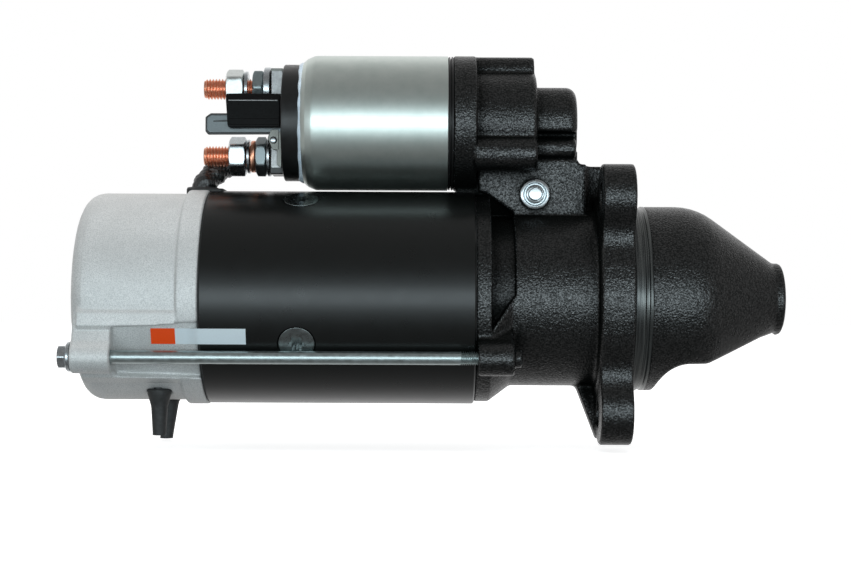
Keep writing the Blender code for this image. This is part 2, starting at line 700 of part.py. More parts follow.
def pivot_bolt():
    """Shouldered bolt that the lever swings on, with its head on the far side."""
    at = (PIVOT_X, 0.0, PIVOT_Z)
    seat = BOX_HALF + GAP
    bolt = turned("pivot_bolt", [
        (-seat - 4.5, 0.0), (-seat - 4.5, 2.8), (-seat - 4.1, 3.2), (1.0 - BOX_HALF, 3.2),
        (1.0 - BOX_HALF, 5.0), (seat, 5.0), (seat, 7.4), (seat + 1.7, 7.4), (seat + 1.7, 0.0),
    ], SMALL_ROUND, at, (0, 1, 0))
    head = prism("head", hexagon(7.2, (PIVOT_X, PIVOT_Z)), seat + 1.0, seat + 6.2, "Y")
    return done(join(bolt, head), "zinc_steel")


def pivot_nut():
    """Flanged lock nut on the near side."""
    at = (PIVOT_X, 0.0, PIVOT_Z)
    bore = 3.2 + GAP
    seat = -BOX_HALF - GAP
    nut = turned("pivot_nut", [
        (seat, bore), (seat, 7.1), (seat - 2.0, 7.1), (seat - 2.6, 6.5), (seat - 2.6, bore),
    ], SMALL_ROUND, at, (0, 1, 0))
    nut = join(nut, prism("crown", hexagon(6.0, (PIVOT_X, PIVOT_Z)), seat - 3.6, seat - 1.2, "Y"))
    return done(cut(nut, cylinder("bore", bore, -30.0, 0.0, SMALL_ROUND, at, (0, 1, 0))), "zinc_steel")


# ---------------------------------------------------------------- solenoid

def solenoid_case():
    """Drawn steel case with its front plate, rolled rear edge and fixed core."""
    case = turned("solenoid_case", [
        (SOLENOID_FRONT, 11.2), (SOLENOID_FRONT, SOLENOID_R), (SOLENOID_REAR, SOLENOID_R),
        (-153.2, 32.0), (-155.2, 30.6), (-156.8, 28.7), (-156.8, 27.2), (-154.5, 28.6),
        (-152.6, 29.4), (-151.5, 29.4), (-151.5, 3.4), (-128.0, 3.4), (-128.0, 10.8),
        (-146.0, 10.8), (-146.0, 29.0), (-89.5, 29.0), (-89.5, 11.2),
    ], ROUND, (0.0, 0.0, SOLENOID_Z))
    holes = [cylinder("hole", 3.2, -95.0, -80.0, at=screw_centre(a)) for a in SCREW_ANGLES]
    return done(cut(case, *holes), "zinc_steel")


def solenoid_cap():
    """Moulded cap with a square boss under each stud."""
    cap = turned("solenoid_cap", [
        (CAP_REAR, 0.0), (CAP_REAR, CAP_R - 0.5), (CAP_REAR + 0.5, CAP_R), (-157.3, CAP_R),
        (-157.3, 26.5), (-156.7, 26.5), (-154.2, 28.1), (-152.4, 28.9), (-151.9, 28.9),
        (-151.9, 23.0), (-162.3, 23.0), (-162.3, 0.0),
    ], ROUND, (0.0, 0.0, SOLENOID_Z))
    bosses = []
    holes = []
    for side in (1.0, -1.0):
        z = SOLENOID_Z + side * STUD_OFFSET
        bosses.append(box("boss", (BOSS_END, -9.0, z - 9.0), (CAP_REAR + 1.0, 9.0, z + 9.0)))
        holes.append(cylinder("hole", STUD_R + GAP, -180.0, -158.0, SMALL_ROUND, (0.0, 0.0, z)))
    return done(cut(join(cap, *bosses), *holes), "black_plastic")


def solenoid_coil():
    winding = [(-145.6, 11.3), (-145.6, 28.6), (-90.0, 28.6), (-90.0, 11.3)]
    return done(turned("solenoid_coil", winding, ROUND, (0.0, 0.0, SOLENOID_Z)), "copper")


def solenoid_screw(number, angle):
    """Socket screw through a housing boss into the solenoid's front plate."""
    screw = turned(f"solenoid_screw_{number}", [
        (-88.7, 0.0), (-88.7, 2.9), (-50.7, 2.9), (-50.7, 4.6), (-45.4, 4.6), (-45.4, 0.0),
    ], SMALL_ROUND, screw_centre(angle))
    _, y, z = screw_centre(angle)
    return done(cut(screw, prism("socket", hexagon(2.9, (y, z), 0.0), -48.4, -44.0)), "zinc_steel")


def control_terminal():
    """Spade terminal of the solenoid's pull-in winding: a strap on the cap, bent out into a blade."""
    blade = prism("control_terminal", [
        (-166.6, 80.6), (-199.6, 80.2), (-200.8, 81.6), (-200.8, 87.2), (-199.0, 88.9), (-166.6, 88.9),
    ], -15.8, -14.6, "Y")
    strap = box("strap", (-167.6, -15.8, 61.6), (-165.2, -11.8, 91.4))
    rivet = cylinder("rivet", 2.2, -169.6, -166.0, SMALL_ROUND, (0.0, -13.8, 77.4))
    return done(join(blade, strap, rivet), "zinc_steel")


def terminal_hood():
    """Plastic shroud over the blade's root, open towards the blade and towards the cap."""
    hood = prism("terminal_hood", [
        (-170.0, 82.4), (-189.0, 82.4), (-191.8, 85.4), (-192.6, 97.4), (-191.4, 98.8), (-170.0, 98.8),
    ], -21.0, -11.2, "Y")
    slot = box("slot", (-195.0, -16.4, 80.0), (-165.0, -14.0, 89.5))
    return done(cut(hood, slot), "black_plastic")


# ---------------------------------------------------------------- moving parts

def armature_shaft(parent):
    """Shaft from the rear bush to the pilot in the output shaft, with the sun gear cut on it."""
    shaft = turned("armature_shaft", [
        (-256.2, 0.0), (-256.2, 6.0), (-242.0, 6.0), (-242.0, 7.0), (-213.0, 7.0), (-213.0, 8.2),
        (-107.2, 8.2), (-107.2, 7.0), (-85.0, 7.0), (-85.0, 4.2), (-71.0, 4.2), (-71.0, 0.0),
    ], 32)
    teeth = gear_outline(SUN_TEETH, MODULE, 10.8, 7.6, 0.12, first=PLANET_DIRECTIONS[0])
    return done(join(shaft, prism("sun", teeth, -106.6, -84.9)), "gear_steel", parent=parent)


def armature_core(parent):
    """Slotted lamination stack with the winding's rounded ends."""
    bore = 8.2 + GAP
    core = turned("armature_core", [
        (-188.0, bore), (-196.0, 12.0), (-196.0, 23.0), (-192.0, 25.5), (-188.0, 25.5),
        (-188.0, 28.3), (-125.0, 28.3), (-125.0, 25.5), (-121.0, 25.5), (-117.0, 23.0),
        (-117.0, 12.0), (-125.0, bore),
    ], ROUND)
    slots = []
    for i in range(ARMATURE_SLOTS):
        slot = box("slot", (-187.0, -30.0, -1.4), (-126.0, -26.6, 1.4))
        slots.append(spin_about_axis(slot, 360.0 * i / ARMATURE_SLOTS))
    return done(cut(core, *slots), "plain_steel", parent=parent)


def commutator(parent):
    """Copper bars on the shaft, with the riser at the winding's end."""
    bore = 7.0 + GAP
    drum = turned("commutator", [
        (-240.0, bore), (-240.0, 18.0), (-218.0, 18.0), (-218.0, 20.4), (-214.6, 20.4), (-214.6, bore),
    ], ROUND)
    cuts = []
    for i in range(ARMATURE_SLOTS):
        groove = box("groove", (-242.0, -19.0, -0.4), (-218.6, -17.2, 0.4))
        cuts.append(spin_about_axis(groove, 360.0 * (i + 0.5) / ARMATURE_SLOTS))
    return done(cut(drum, *cuts), "copper", parent=parent)


def planet_gear(number, direction, parent):
    """Planet with a tooth pointing outwards and a gap over the sun's tooth."""
    angle = math.radians(direction)
    centre = (PLANET_PITCH_R * math.cos(angle), PLANET_PITCH_R * math.sin(angle))
    teeth = gear_outline(PLANET_TEETH, MODULE, 13.2, 10.0, 0.12, centre, direction)
    gear = prism(f"planet_gear_{number}", teeth, GEAR_REAR, GEAR_FRONT)
    bore = cylinder("bore", PLANET_PIN_R + GAP, -120.0, -70.0, SMALL_ROUND, (0.0, *centre))
    return done(cut(gear, bore), "gear_steel", (0.0, *centre), parent)


def ring_gear():
    """Internal gear held in the yoke's front end."""
    ring = cylinder("ring_gear", YOKE_BORE - GAP, -106.0, -84.3, CASING_ROUND)
    teeth = gear_outline(RING_TEETH, MODULE, 35.5, 32.3, -0.12, first=PLANET_DIRECTIONS[0])
    return done(cut(ring, prism("teeth", teeth, -120.0, -70.0)), "gear_steel")


def output_shaft(parent):
    """Planet carrier and pinion shaft in one, with the stop collar near the nose."""
    shaft = turned("output_shaft", [
        (-83.8, 4.6), (-83.8, 30.5), (-78.0, 30.5), (-78.0, 11.1), (-69.6, 11.1), (-69.6, SPLINE_R),
        (-22.0, SPLINE_R), (-22.0, SHAFT_R), (43.0, SHAFT_R), (43.0, 12.5), (48.0, 12.5),
        (48.0, SHAFT_R), (73.0, SHAFT_R), (74.0, 7.0), (74.0, 0.0), (-69.9, 0.0), (-69.9, 4.6),
    ], ROUND)
    pins = []
    for direction in PLANET_DIRECTIONS:
        angle = math.radians(direction)
        centre = (0.0, PLANET_PITCH_R * math.cos(angle), PLANET_PITCH_R * math.sin(angle))
        pins.append(cylinder("pin", PLANET_PIN_R, -105.5, -82.0, SMALL_ROUND, centre))
    return done(join(shaft, *pins), "gear_steel", parent=parent)


def clutch_shell(parent):
    """Overrunning clutch body with the lever's groove behind it."""
    half = SHOE_R + GAP
    shell = turned("clutch_shell", [
        (-60.0, 10.0), (-60.0, COLLAR_OUTER_R), (SHOE_X - half, COLLAR_OUTER_R),
        (SHOE_X - half, GROOVE_R), (SHOE_X + half, GROOVE_R), (SHOE_X + half, COLLAR_OUTER_R),
        (-46.5, COLLAR_OUTER_R), (-46.5, GROOVE_R), (-42.5, GROOVE_R), (-42.5, CLUTCH_R - 1.5),
        (-41.0, CLUTCH_R), (-4.5, CLUTCH_R), (-3.0, CLUTCH_R - 1.5), (-3.0, 13.4), (-22.0, 13.4),
        (-22.0, 10.0),
    ], ROUND)
    return done(shell, "plain_steel", parent=parent)


def pinion(parent):
    """Drive pinion whose hub runs inside the clutch."""
    teeth = gear_outline(PINION_TEETH, PINION_MODULE, 19.2, 12.8, 0.15, first=90.0)
    gear = join(prism("pinion", teeth, 0.0, PINION_LENGTH),
                cylinder("hub", 12.6, -20.5, 0.5, ROUND))
    bore = cylinder("bore", SHAFT_R + 0.4, -40.0, 40.0, ROUND)
    return done(cut(gear, bore), "gear_steel", parent=parent)


def shift_lever(parent):
    """Lever with a slotted upper arm, a hub on the pivot and a fork over the clutch's groove."""
    upper = prism("shift_lever", arc((0.0, UPPER_ARM), 5.0, 0.0, 180.0, 6) + [(-5.6, 0.0), (5.6, 0.0)],
                  -3.1, 3.1, "Y")
    hub = cylinder("hub", 8.5, -11.2, 11.2, 16, axis=(0, 1, 0))
    crown_z = 24.5 - PIVOT_Z
    inner = arc((0.0, -LOWER_ARM), FORK_INNER, 180.0, 0.0, 8)
    shoulder = 34.6 - PIVOT_Z
    outline = [(10.5, 0.0), (10.5, shoulder), (FORK_OUTER, crown_z), (FORK_OUTER, -53.4)]
    outline += [(FORK_INNER, -53.4)] + list(reversed(inner)) + [(-FORK_INNER, -53.4)]
    outline += [(-FORK_OUTER, -53.4), (-FORK_OUTER, crown_z), (-10.5, shoulder), (-10.5, 0.0)]
    fork = prism("fork", outline, -3.9, 3.9)
    shoes = []
    for side in (-1.0, 1.0):
        spans = sorted((side * (GROOVE_R + 0.5), side * (FORK_OUTER - 1.0)))
        shoes.append(cylinder("shoe", SHOE_R, spans[0], spans[1], 16, (0, 0, -LOWER_ARM), (0, 1, 0)))
    lever = join(upper, hub, fork, *shoes)
    slot = prism("slot", arc((0.0, UPPER_ARM + 1.0), 2.6, 0.0, 180.0, 6)
                 + arc((0.0, UPPER_ARM - 1.0), 2.6, 180.0, 360.0, 6), -20.0, 20.0, "Y")
    bore = cylinder("bore", 5.0 + GAP, -20.0, 20.0, SMALL_ROUND, axis=(0, 1, 0))
    lever = cut(lever, slot, bore)
    lever.data.transform(Matrix.Rotation(math.radians(LEVER_TILT), 4, "Y"))
    at = (PIVOT_X, 0.0, PIVOT_Z)
    lever.data.transform(Matrix.Translation(Vector(at) * MM))
    return done(lever, "plain_steel", at, parent)


def plunger(parent):
    """Solenoid plunger with the spring's collar and a fork and pin for the lever."""
    at = (0.0, 0.0, SOLENOID_Z)
    core = turned("plunger", [
        (-115.0, 0.0), (-115.0, 10.6), (-52.6, 10.6), (-52.6, 16.0), (-50.0, 16.0), (-50.0, 7.6),
        (-48.0, 7.6), (-48.0, 0.0),
    ], 24, at)
    cheeks = []
    for side in (-1.0, 1.0):
        spans = sorted((side * 3.5, side * 6.6))
        cheeks.append(box("cheek", (-49.0, spans[0], SOLENOID_Z - 4.5), (-34.2, spans[1], SOLENOID_Z + 4.5)))
    pin = cylinder("pin", 2.2, -6.0, 6.0, 12, (PLUNGER_PIN_X, 0.0, SOLENOID_Z), (0, 1, 0))
    return done(join(core, *cheeks, pin), "zinc_steel", at, parent)


def return_spring(parent):
    """Coil spring between the solenoid's front plate and the plunger's collar."""
    turns = 5.0
    steps = 45
    start = -84.2
    end = -54.2
    radius = 14.4
    path = []
    for i in range(steps + 1):
        angle = 2.0 * math.pi * turns * i / steps
        along = start + (end - start) * i / steps
        path.append((along, radius * math.cos(angle), SOLENOID_Z + radius * math.sin(angle)))
    return done(tube_along("return_spring", path, 1.2, 8), "zinc_steel",
                (0.0, 0.0, SOLENOID_Z), parent)


def contact_disc(parent):
    """Moving contact on its rod, which the plunger pushes back onto the studs."""
    at = (0.0, 0.0, SOLENOID_Z)
    disc = turned("contact_disc", [
        (-156.0, 0.0), (-156.0, 21.0), (-153.6, 21.0), (-153.6, 3.0), (-127.6, 3.0), (-127.6, 0.0),
    ], ROUND, at)
    return done(disc, "copper", at, parent)


# ---------------------------------------------------------------- assembly

def clear_scene():
    for thing in list(bpy.data.objects):
        bpy.data.objects.remove(thing)


def build_casings():
    drive_end_housing()
    yoke_tube()
    commutator_end_cover()
    done(turned("nose_bush", [(58.4, SHAFT_R + 0.35), (58.4, NOSE_BUSH_R), (74.2, NOSE_BUSH_R),
                              (74.2, SHAFT_R + 0.35)]), "bronze")
    done(turned("rear_bush", [(-256.5, 6.35), (-256.5, 10.0), (-246.3, 10.0), (-246.3, 6.35)]),
         "bronze")
    done(turned("centre_plate", [(-77.4, 11.5), (-77.4, YOKE_BORE - GAP), (-73.2, YOKE_BORE - GAP),
                                 (-73.2, 11.5)], CASING_ROUND), "plain_steel")
    ring_gear()


def build_field():
    for number, angle in enumerate(POLE_ANGLES, 1):
        pole_shoe(number, angle)
        pole_screw(number, angle)
        brush(number)
    field_coils()
    brush_plate()


def build_fixtures():
    for number, angle in enumerate(BOLT_ANGLES, 1):
        through_bolt(number, angle)
    motor_cable()
    cable_grommet()
    for number, (y, top, bottom, lean) in enumerate(DRAINS, 1):
        drain_tube(number, y, top, bottom, lean)
    pivot_bolt()
    pivot_nut()


def build_solenoid():
    solenoid_case()
    solenoid_cap()
    solenoid_coil()
    stud("battery_stud", 1.0)
    stud("motor_stud", -1.0)
    stud_hardware()
    control_terminal()
    terminal_hood()
    for number, angle in enumerate(SCREW_ANGLES, 1):
        solenoid_screw(number, angle)


def build_moving():
    armature_axis = pivot("armature_axis", (0.0, 0.0, 0.0))
    armature_shaft(armature_axis)
    armature_core(armature_axis)
    commutator(armature_axis)
    carrier_axis = pivot("carrier_axis", (0.0, 0.0, 0.0))
    output_shaft(carrier_axis)
    for number, direction in enumerate(PLANET_DIRECTIONS, 1):
        planet_gear(number, direction, carrier_axis)
    clutch_slide = pivot("clutch_slide", (0.0, 0.0, 0.0), carrier_axis)
    clutch_shell(clutch_slide)
    pinion(clutch_slide)
    lever_pivot = pivot("lever_pivot", (PIVOT_X, 0.0, PIVOT_Z))
    shift_lever(lever_pivot)
    plunger_slide = pivot("plunger_slide", (0.0, 0.0, SOLENOID_Z))
    plunger(plunger_slide)
    return_spring(plunger_slide)
    contact_slide = pivot("contact_slide", (0.0, 0.0, SOLENOID_Z))
    contact_disc(contact_slide)


def main():
    clear_scene()
    build_casings()
    build_field()
    build_fixtures()
    build_solenoid()
    build_moving()


main()
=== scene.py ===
"""Looks of the heavy-duty starter motor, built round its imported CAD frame.

Lengths are in millimetres and become metres when a mesh is made. X is measured from the mounting
flange's front face, and angles round the motor axis start at -Y and grow towards +Z. The castings
are signed distance fields, whose soft unions give the fillets and rounded edges of real castings.
"""

import json
import math
from collections import namedtuple

import bmesh
import bpy
import numpy as np
import openvdb
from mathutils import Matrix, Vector


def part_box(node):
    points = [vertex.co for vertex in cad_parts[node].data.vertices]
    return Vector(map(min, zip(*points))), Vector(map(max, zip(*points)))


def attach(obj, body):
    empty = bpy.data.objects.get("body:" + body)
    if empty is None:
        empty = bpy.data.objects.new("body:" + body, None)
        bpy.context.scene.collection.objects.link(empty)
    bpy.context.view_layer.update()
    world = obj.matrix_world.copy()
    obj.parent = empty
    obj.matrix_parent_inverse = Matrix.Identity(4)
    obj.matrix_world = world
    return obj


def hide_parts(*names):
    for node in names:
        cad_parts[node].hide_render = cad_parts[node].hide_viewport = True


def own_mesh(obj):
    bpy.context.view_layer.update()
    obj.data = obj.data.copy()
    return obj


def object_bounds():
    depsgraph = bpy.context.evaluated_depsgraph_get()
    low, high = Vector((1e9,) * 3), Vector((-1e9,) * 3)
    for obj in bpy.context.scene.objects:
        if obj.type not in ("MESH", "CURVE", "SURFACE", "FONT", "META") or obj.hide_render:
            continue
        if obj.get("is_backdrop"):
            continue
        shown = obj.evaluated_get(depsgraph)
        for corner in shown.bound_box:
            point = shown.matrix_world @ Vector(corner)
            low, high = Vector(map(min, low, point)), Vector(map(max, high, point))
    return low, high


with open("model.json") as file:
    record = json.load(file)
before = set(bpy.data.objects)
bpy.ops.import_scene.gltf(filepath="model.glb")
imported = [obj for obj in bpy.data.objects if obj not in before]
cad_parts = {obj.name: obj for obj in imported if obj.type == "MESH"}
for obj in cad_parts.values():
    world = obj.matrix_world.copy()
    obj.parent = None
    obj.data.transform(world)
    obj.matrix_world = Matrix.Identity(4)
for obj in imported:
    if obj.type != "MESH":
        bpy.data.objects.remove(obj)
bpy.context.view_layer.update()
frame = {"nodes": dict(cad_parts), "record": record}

MM = 0.001
FLANGE_FACE = next(m for m in frame["record"]["mounts"] if m["name"] == "flange_face")
FLANGE_X = FLANGE_FACE["pos_m"][0] / MM
LATHE_SIDES = 192
SMALL_SIDES = 64
SMOOTH_ANGLE = math.radians(32.0)
BEVEL_ANGLE = math.radians(30.0)


def node_box(node):
    """Lowest and highest corner of a CAD node, in this file's millimetres."""
    low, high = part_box(node)
    shift = Vector((FLANGE_X, 0.0, 0.0))
    return low / MM - shift, high / MM - shift


# Driving dimensions, read from the CAD frame
SEAT_REAR, NOSE_END = (corner.x for corner in node_box("drive_end_housing"))
YOKE_REAR, YOKE_FRONT = (corner.x for corner in node_box("yoke_tube"))
HOUSING_REAR = YOKE_FRONT
YOKE_R = node_box("yoke_tube")[1].z
COVER_REAR = node_box("commutator_end_cover")[0].x
CASE_LOW, CASE_HIGH = node_box("solenoid_case")
SOLENOID_Z = (CASE_LOW.z + CASE_HIGH.z) / 2.0
SOLENOID_R = (CASE_HIGH.z - CASE_LOW.z) / 2.0
STUD_END = node_box("battery_stud")[0].x
STUD_Z = {"battery": SOLENOID_Z + 16.3, "motor": SOLENOID_Z - 16.3}
STUD_R = 4.9
PIVOT_X = sum(corner.x for corner in node_box("pivot_nut")) / 2.0
PIVOT_Z = sum(corner.z for corner in node_box("pivot_nut")) / 2.0
BOX_HALF = -node_box("pivot_nut")[1].y - 0.3
COVER_FRONT = YOKE_REAR - 0.3
GROMMET_LOW, GROMMET_HIGH = node_box("cable_grommet")
GROMMET_X = (GROMMET_LOW.x + GROMMET_HIGH.x) / 2.0
GROMMET_Y = (GROMMET_LOW.y + GROMMET_HIGH.y) / 2.0
GROMMET_LOW.x += 4.0

# Radii and stations of the castings
COLLAR_R = 50.0
NECK_R = 42.3
NOSE_R = 44.4
PILOT_R = 44.6
LIP_R = 17.3
NOSE_CORNER = 33.1
FLANGE_THICK = 15.3
DISC_R = 49.0
LOBE_PITCH_R = 59.0
LOBE_HOLE_R = 6.3
LOBE_BLEND_R = 14.0
LOBE_ANGLES = (53.0, 173.0, -67.0)
# Angle and radius of each lobe's outline. The lowest one leans 4.5 degrees from its bolt hole.
LOBES = ((-62.5, 16.2), (53.0, 15.3), (173.0, 15.3))
BOLT_PITCH_R = 55.0
BOLT_R = 3.15
BOLT_ANGLES = (-30.0, 150.0)
SCREW_PITCH_R = 25.5
SCREW_ANGLES = (90.0, -36.0, 216.0)
COVER_R = 49.8
COVER_BAND_R = 51.7
BAND_START = -210.4
POCKET_R = 48.6
SHOE_X = -53.1
POLE_X = -155.3
POLE_ANGLES = (65.3, 155.3, -114.7, -24.7)
DRAIN_X = -221.7
DRAINS = ((-21.5, -43.4, -65.3, 0.0), (20.0, -44.6, -70.4, -0.12))   # y, top, bottom, lean


# ---------------------------------------------------------------- materials

class Nodes:
    """A new material's node tree, with short calls for the nodes used here."""

    def __init__(self, name, colour, roughness, metallic=0.0):
        self.material = bpy.data.materials.new(name)
        self.material.use_nodes = True
        self.tree = self.material.node_tree
        self.shader = self.tree.nodes["Principled BSDF"]
        self.set("Base Color", (*colour, 1.0))
        self.set("Roughness", roughness)
        self.set("Metallic", metallic)
        self.place = self.add("ShaderNodeTexCoord").outputs["Object"]

    def set(self, socket, value):
        self.shader.inputs[socket].default_value = value

    def add(self, kind, **inputs):
        node = self.tree.nodes.new(kind)
        for socket, value in inputs.items():
            self.feed(node.inputs[socket.replace("_", " ")], value)
        return node

    def feed(self, socket, value):
        if isinstance(value, bpy.types.NodeSocket):
            self.tree.links.new(value, socket)
        else:
            socket.default_value = value

    def stretched(self, x, y, z):
        """Object coordinates scaled by axis, for streaks."""
        mapping = self.add("ShaderNodeMapping", Vector=self.place)
        mapping.inputs["Scale"].default_value = (x, y, z)
        return mapping.outputs["Vector"]

    def noise(self, grain_mm, detail=3.0, rough=0.55, place=None):
        """Noise whose features are about grain_mm across."""
        node = self.add("ShaderNodeTexNoise", Vector=place or self.place, Scale=1.0 / (grain_mm * MM),
                        Detail=detail, Roughness=rough)
        return node.outputs["Fac"]

    def ramp(self, value, *stops):
        """Maps a value through (position, grey or colour) stops."""
        node = self.add("ShaderNodeValToRGB", Fac=value)
        while len(node.color_ramp.elements) < len(stops):
            node.color_ramp.elements.new(0.5)
        for element, (position, colour) in zip(node.color_ramp.elements, stops):
            element.position = position
            if isinstance(colour, (int, float)):
                colour = (colour,) * 3
            element.color = (*colour, 1.0)
        return node.outputs["Color"]

    def mix(self, share, a, b):
        node = self.tree.nodes.new("ShaderNodeMix")
        node.data_type = "RGBA"
        self.feed(node.inputs["Factor"], share)
        for socket, value in ((node.inputs["A"], a), (node.inputs["B"], b)):
            if isinstance(value, tuple) and len(value) == 3:
                value = (*value, 1.0)
            self.feed(socket, value)
        return node.outputs["Result"]

    def maths(self, operation, a, b=0.0):
        node = self.tree.nodes.new("ShaderNodeMath")
        node.operation = operation
        self.feed(node.inputs[0], a)
        self.feed(node.inputs[1], b)
        return node.outputs["Value"]

    def bump(self, height, depth_mm):
        node = self.add("ShaderNodeBump", Height=height, Distance=depth_mm * MM, Strength=1.0)
        self.tree.links.new(node.outputs["Normal"], self.shader.inputs["Normal"])

    def colour(self, value):
        self.feed(self.shader.inputs["Base Color"], value)

    def rough(self, value):
        self.feed(self.shader.inputs["Roughness"], value)

    def edge_wear(self, low, high):
        """Near 1 on sharp outer edges, where paint is thin."""
        pointy = self.add("ShaderNodeNewGeometry").outputs["Pointiness"]
        return self.ramp(pointy, (low, 0.0), (high, 1.0))


def cast_black():
    """Black paint over a sand casting: a pebbled skin whose edges show specks of bare metal. Its shine is cut
    in recesses and on slanted faces: painted shade.
    """
    black = (0.0034, 0.0038, 0.0036)
    m = Nodes("cast_black", black, 0.25)
    grain = m.noise(0.75, 1.0, 0.5)
    m.bump(m.mix(0.5, m.noise(1.1, 1.0, 0.5), grain), 0.42)
    # Painted shade: ambient occlusion and the viewing slant cut the specular level in recesses and at grazing
    # angles.
    open_sky = m.add("ShaderNodeAmbientOcclusion", Distance=0.013).outputs["AO"]
    painted_recess_shade = m.ramp(open_sky, (0.5, 0.06), (0.9, 1.0))
    painted_grazing_shade = m.ramp(m.add("ShaderNodeLayerWeight", Blend=0.5).outputs["Facing"], (0.12, 1.0), (0.55, 0.28))
    painted_shade = m.maths("MULTIPLY", painted_recess_shade, painted_grazing_shade)
    grain_shine_with_painted_shade = m.maths("MULTIPLY", m.ramp(grain, (0.40, 0.30), (0.62, 1.0)), painted_shade)
    m.feed(m.shader.inputs["Specular IOR Level"], grain_shine_with_painted_shade)
    specks = m.ramp(m.noise(0.8, 2.0), (0.52, 0.0), (0.60, 1.0))
    worn = m.maths("MULTIPLY", m.edge_wear(0.535, 0.60), specks)
    m.colour(m.mix(worn, black, (0.20, 0.21, 0.22)))
    m.rough(m.ramp(m.noise(6.0), (0.3, 0.23), (0.7, 0.29)))
    return m.material


def machined_black():
    """The pilot ring's machined face, with thin paint over turning marks."""
    m = Nodes("machined_black", (0.05, 0.053, 0.055), 0.24, 0.75)
    lines = m.noise(0.5, 2.0, 0.6, m.stretched(1.0, 0.02, 0.02))
    m.colour(m.ramp(lines, (0.35, (0.035, 0.037, 0.038)), (0.65, (0.13, 0.135, 0.13))))
    m.bump(lines, 0.03)
    return m.material


def yoke_paint():
    """Smooth satin black paint."""
    m = Nodes("yoke_paint", (0.0035, 0.0041, 0.0038), 0.28)
    m.set("Specular IOR Level", 0.45)
    m.rough(m.ramp(m.noise(9.0, 4.0), (0.3, 0.27), (0.7, 0.31)))
    m.bump(m.noise(0.5, 2.0), 0.008)
    return m.material


def cast_aluminium():
    """Pale blasted die casting with a fine speckle."""
    m = Nodes("cast_aluminium", (0.82, 0.79, 0.77), 0.5, 0.3)
    speck = m.noise(0.45, 2.0, 0.6)
    broad = m.noise(14.0, 3.0)
    pale = m.mix(m.ramp(broad, (0.35, 0.0), (0.65, 1.0)), (0.66, 0.66, 0.65), (0.73, 0.73, 0.72))
    m.colour(m.mix(m.ramp(speck, (0.38, 0.0), (0.58, 1.0)), (0.52, 0.525, 0.52), pale))
    m.bump(speck, 0.10)
    return m.material


def zinc(name="zinc", tone=(0.62, 0.66, 0.68), roughness=0.24):
    """Bright zinc plating with faint clouding."""
    m = Nodes(name, tone, roughness, 1.0)
    cloud = m.noise(2.5, 4.0, 0.6)
    dark = tuple(0.78 * c for c in tone)
    m.colour(m.mix(m.ramp(cloud, (0.35, 0.0), (0.7, 1.0)), dark, tone))
    m.rough(m.ramp(cloud, (0.3, roughness - 0.06), (0.7, roughness + 0.10)))
    m.bump(m.noise(0.6, 3.0), 0.006)
    return m.material


def drawn_steel():
    """The solenoid case: greenish zinc over drawn steel, lightly scored round the case."""
    m = Nodes("drawn_steel", (0.84, 0.90, 0.86), 0.4, 1.0)
    streaks = m.noise(0.5, 3.0, 0.6, m.stretched(1.0, 0.04, 0.04))
    cloud = m.noise(7.0, 4.0, 0.6)
    m.colour(m.mix(m.ramp(cloud, (0.3, 0.0), (0.7, 1.0)), (0.63, 0.70, 0.66), (0.71, 0.77, 0.73)))
    m.rough(m.ramp(streaks, (0.3, 0.35), (0.7, 0.38)))
    m.bump(streaks, 0.002)
    return m.material


def steel(name, tone, roughness):
    """Plain turned or ground steel with fine marks and a trace of oil."""
    m = Nodes(name, (tone, tone, tone * 1.01), roughness, 1.0)
    lines = m.noise(0.4, 3.0, 0.6, m.stretched(1.0, 0.1, 0.1))
    m.colour(m.ramp(lines, (0.3, tone * 0.8), (0.7, tone * 1.1)))
    m.rough(m.ramp(m.noise(3.0, 3.0), (0.3, roughness - 0.06), (0.7, roughness + 0.08)))
    m.bump(lines, 0.01)
    return m.material


def copper():
    """Rolled copper threads with a clouded tone."""
    m = Nodes("copper", (0.80, 0.33, 0.19), 0.38, 1.0)
    cloud = m.noise(1.8, 4.0, 0.6)
    m.colour(m.mix(m.ramp(cloud, (0.3, 0.0), (0.7, 1.0)), (0.80, 0.34, 0.20), (1.0, 0.54, 0.38)))
    m.bump(m.noise(0.4, 3.0), 0.008)
    return m.material


def winding():
    """Enamelled copper strip."""
    m = Nodes("winding", (0.48, 0.18, 0.07), 0.3, 0.6)
    layers = m.noise(1.2, 2.0, 0.5, m.stretched(0.15, 1.0, 1.0))
    m.colour(m.ramp(layers, (0.35, (0.30, 0.10, 0.035)), (0.65, (0.58, 0.24, 0.10))))
    m.bump(layers, 0.15)
    return m.material


def bronze():
    """Porous sintered bush."""
    m = Nodes("bronze", (0.42, 0.29, 0.13), 0.42, 0.9)
    pores = m.noise(0.35, 2.0)
    m.colour(m.ramp(pores, (0.35, (0.20, 0.13, 0.06)), (0.6, (0.46, 0.32, 0.15))))
    m.bump(pores, 0.03)
    return m.material


def carbon():
    """Pressed copper carbon."""
    m = Nodes("carbon", (0.04, 0.036, 0.035), 0.65, 0.2)
    grains = m.noise(0.3, 2.0)
    m.colour(m.ramp(grains, (0.55, (0.03, 0.028, 0.028)), (0.7, (0.16, 0.09, 0.06))))
    m.bump(grains, 0.03)
    return m.material


def plastic(name, tone, roughness, metallic=0.0, specular=0.5):
    """Moulded thermoset."""
    m = Nodes(name, (tone, tone, tone * 1.06), roughness, metallic)
    m.set("Specular IOR Level", specular)
    skin = m.noise(0.6, 3.0)
    m.colour(m.ramp(m.noise(1.4, 4.0), (0.3, tone * 0.8), (0.7, tone * 1.2)))
    m.rough(m.ramp(m.noise(3.0), (0.3, roughness - 0.05), (0.7, roughness + 0.07)))
    m.bump(skin, 0.02)
    return m.material


def rubber():
    """Moulded rubber with a dusty bloom."""
    m = Nodes("rubber", (0.02, 0.021, 0.022), 0.6)
    m.colour(m.ramp(m.noise(2.5, 4.0), (0.35, 0.016), (0.7, 0.032)))
    m.rough(m.ramp(m.noise(1.5), (0.3, 0.52), (0.7, 0.68)))
    m.bump(m.noise(0.4, 2.0), 0.03)
    return m.material


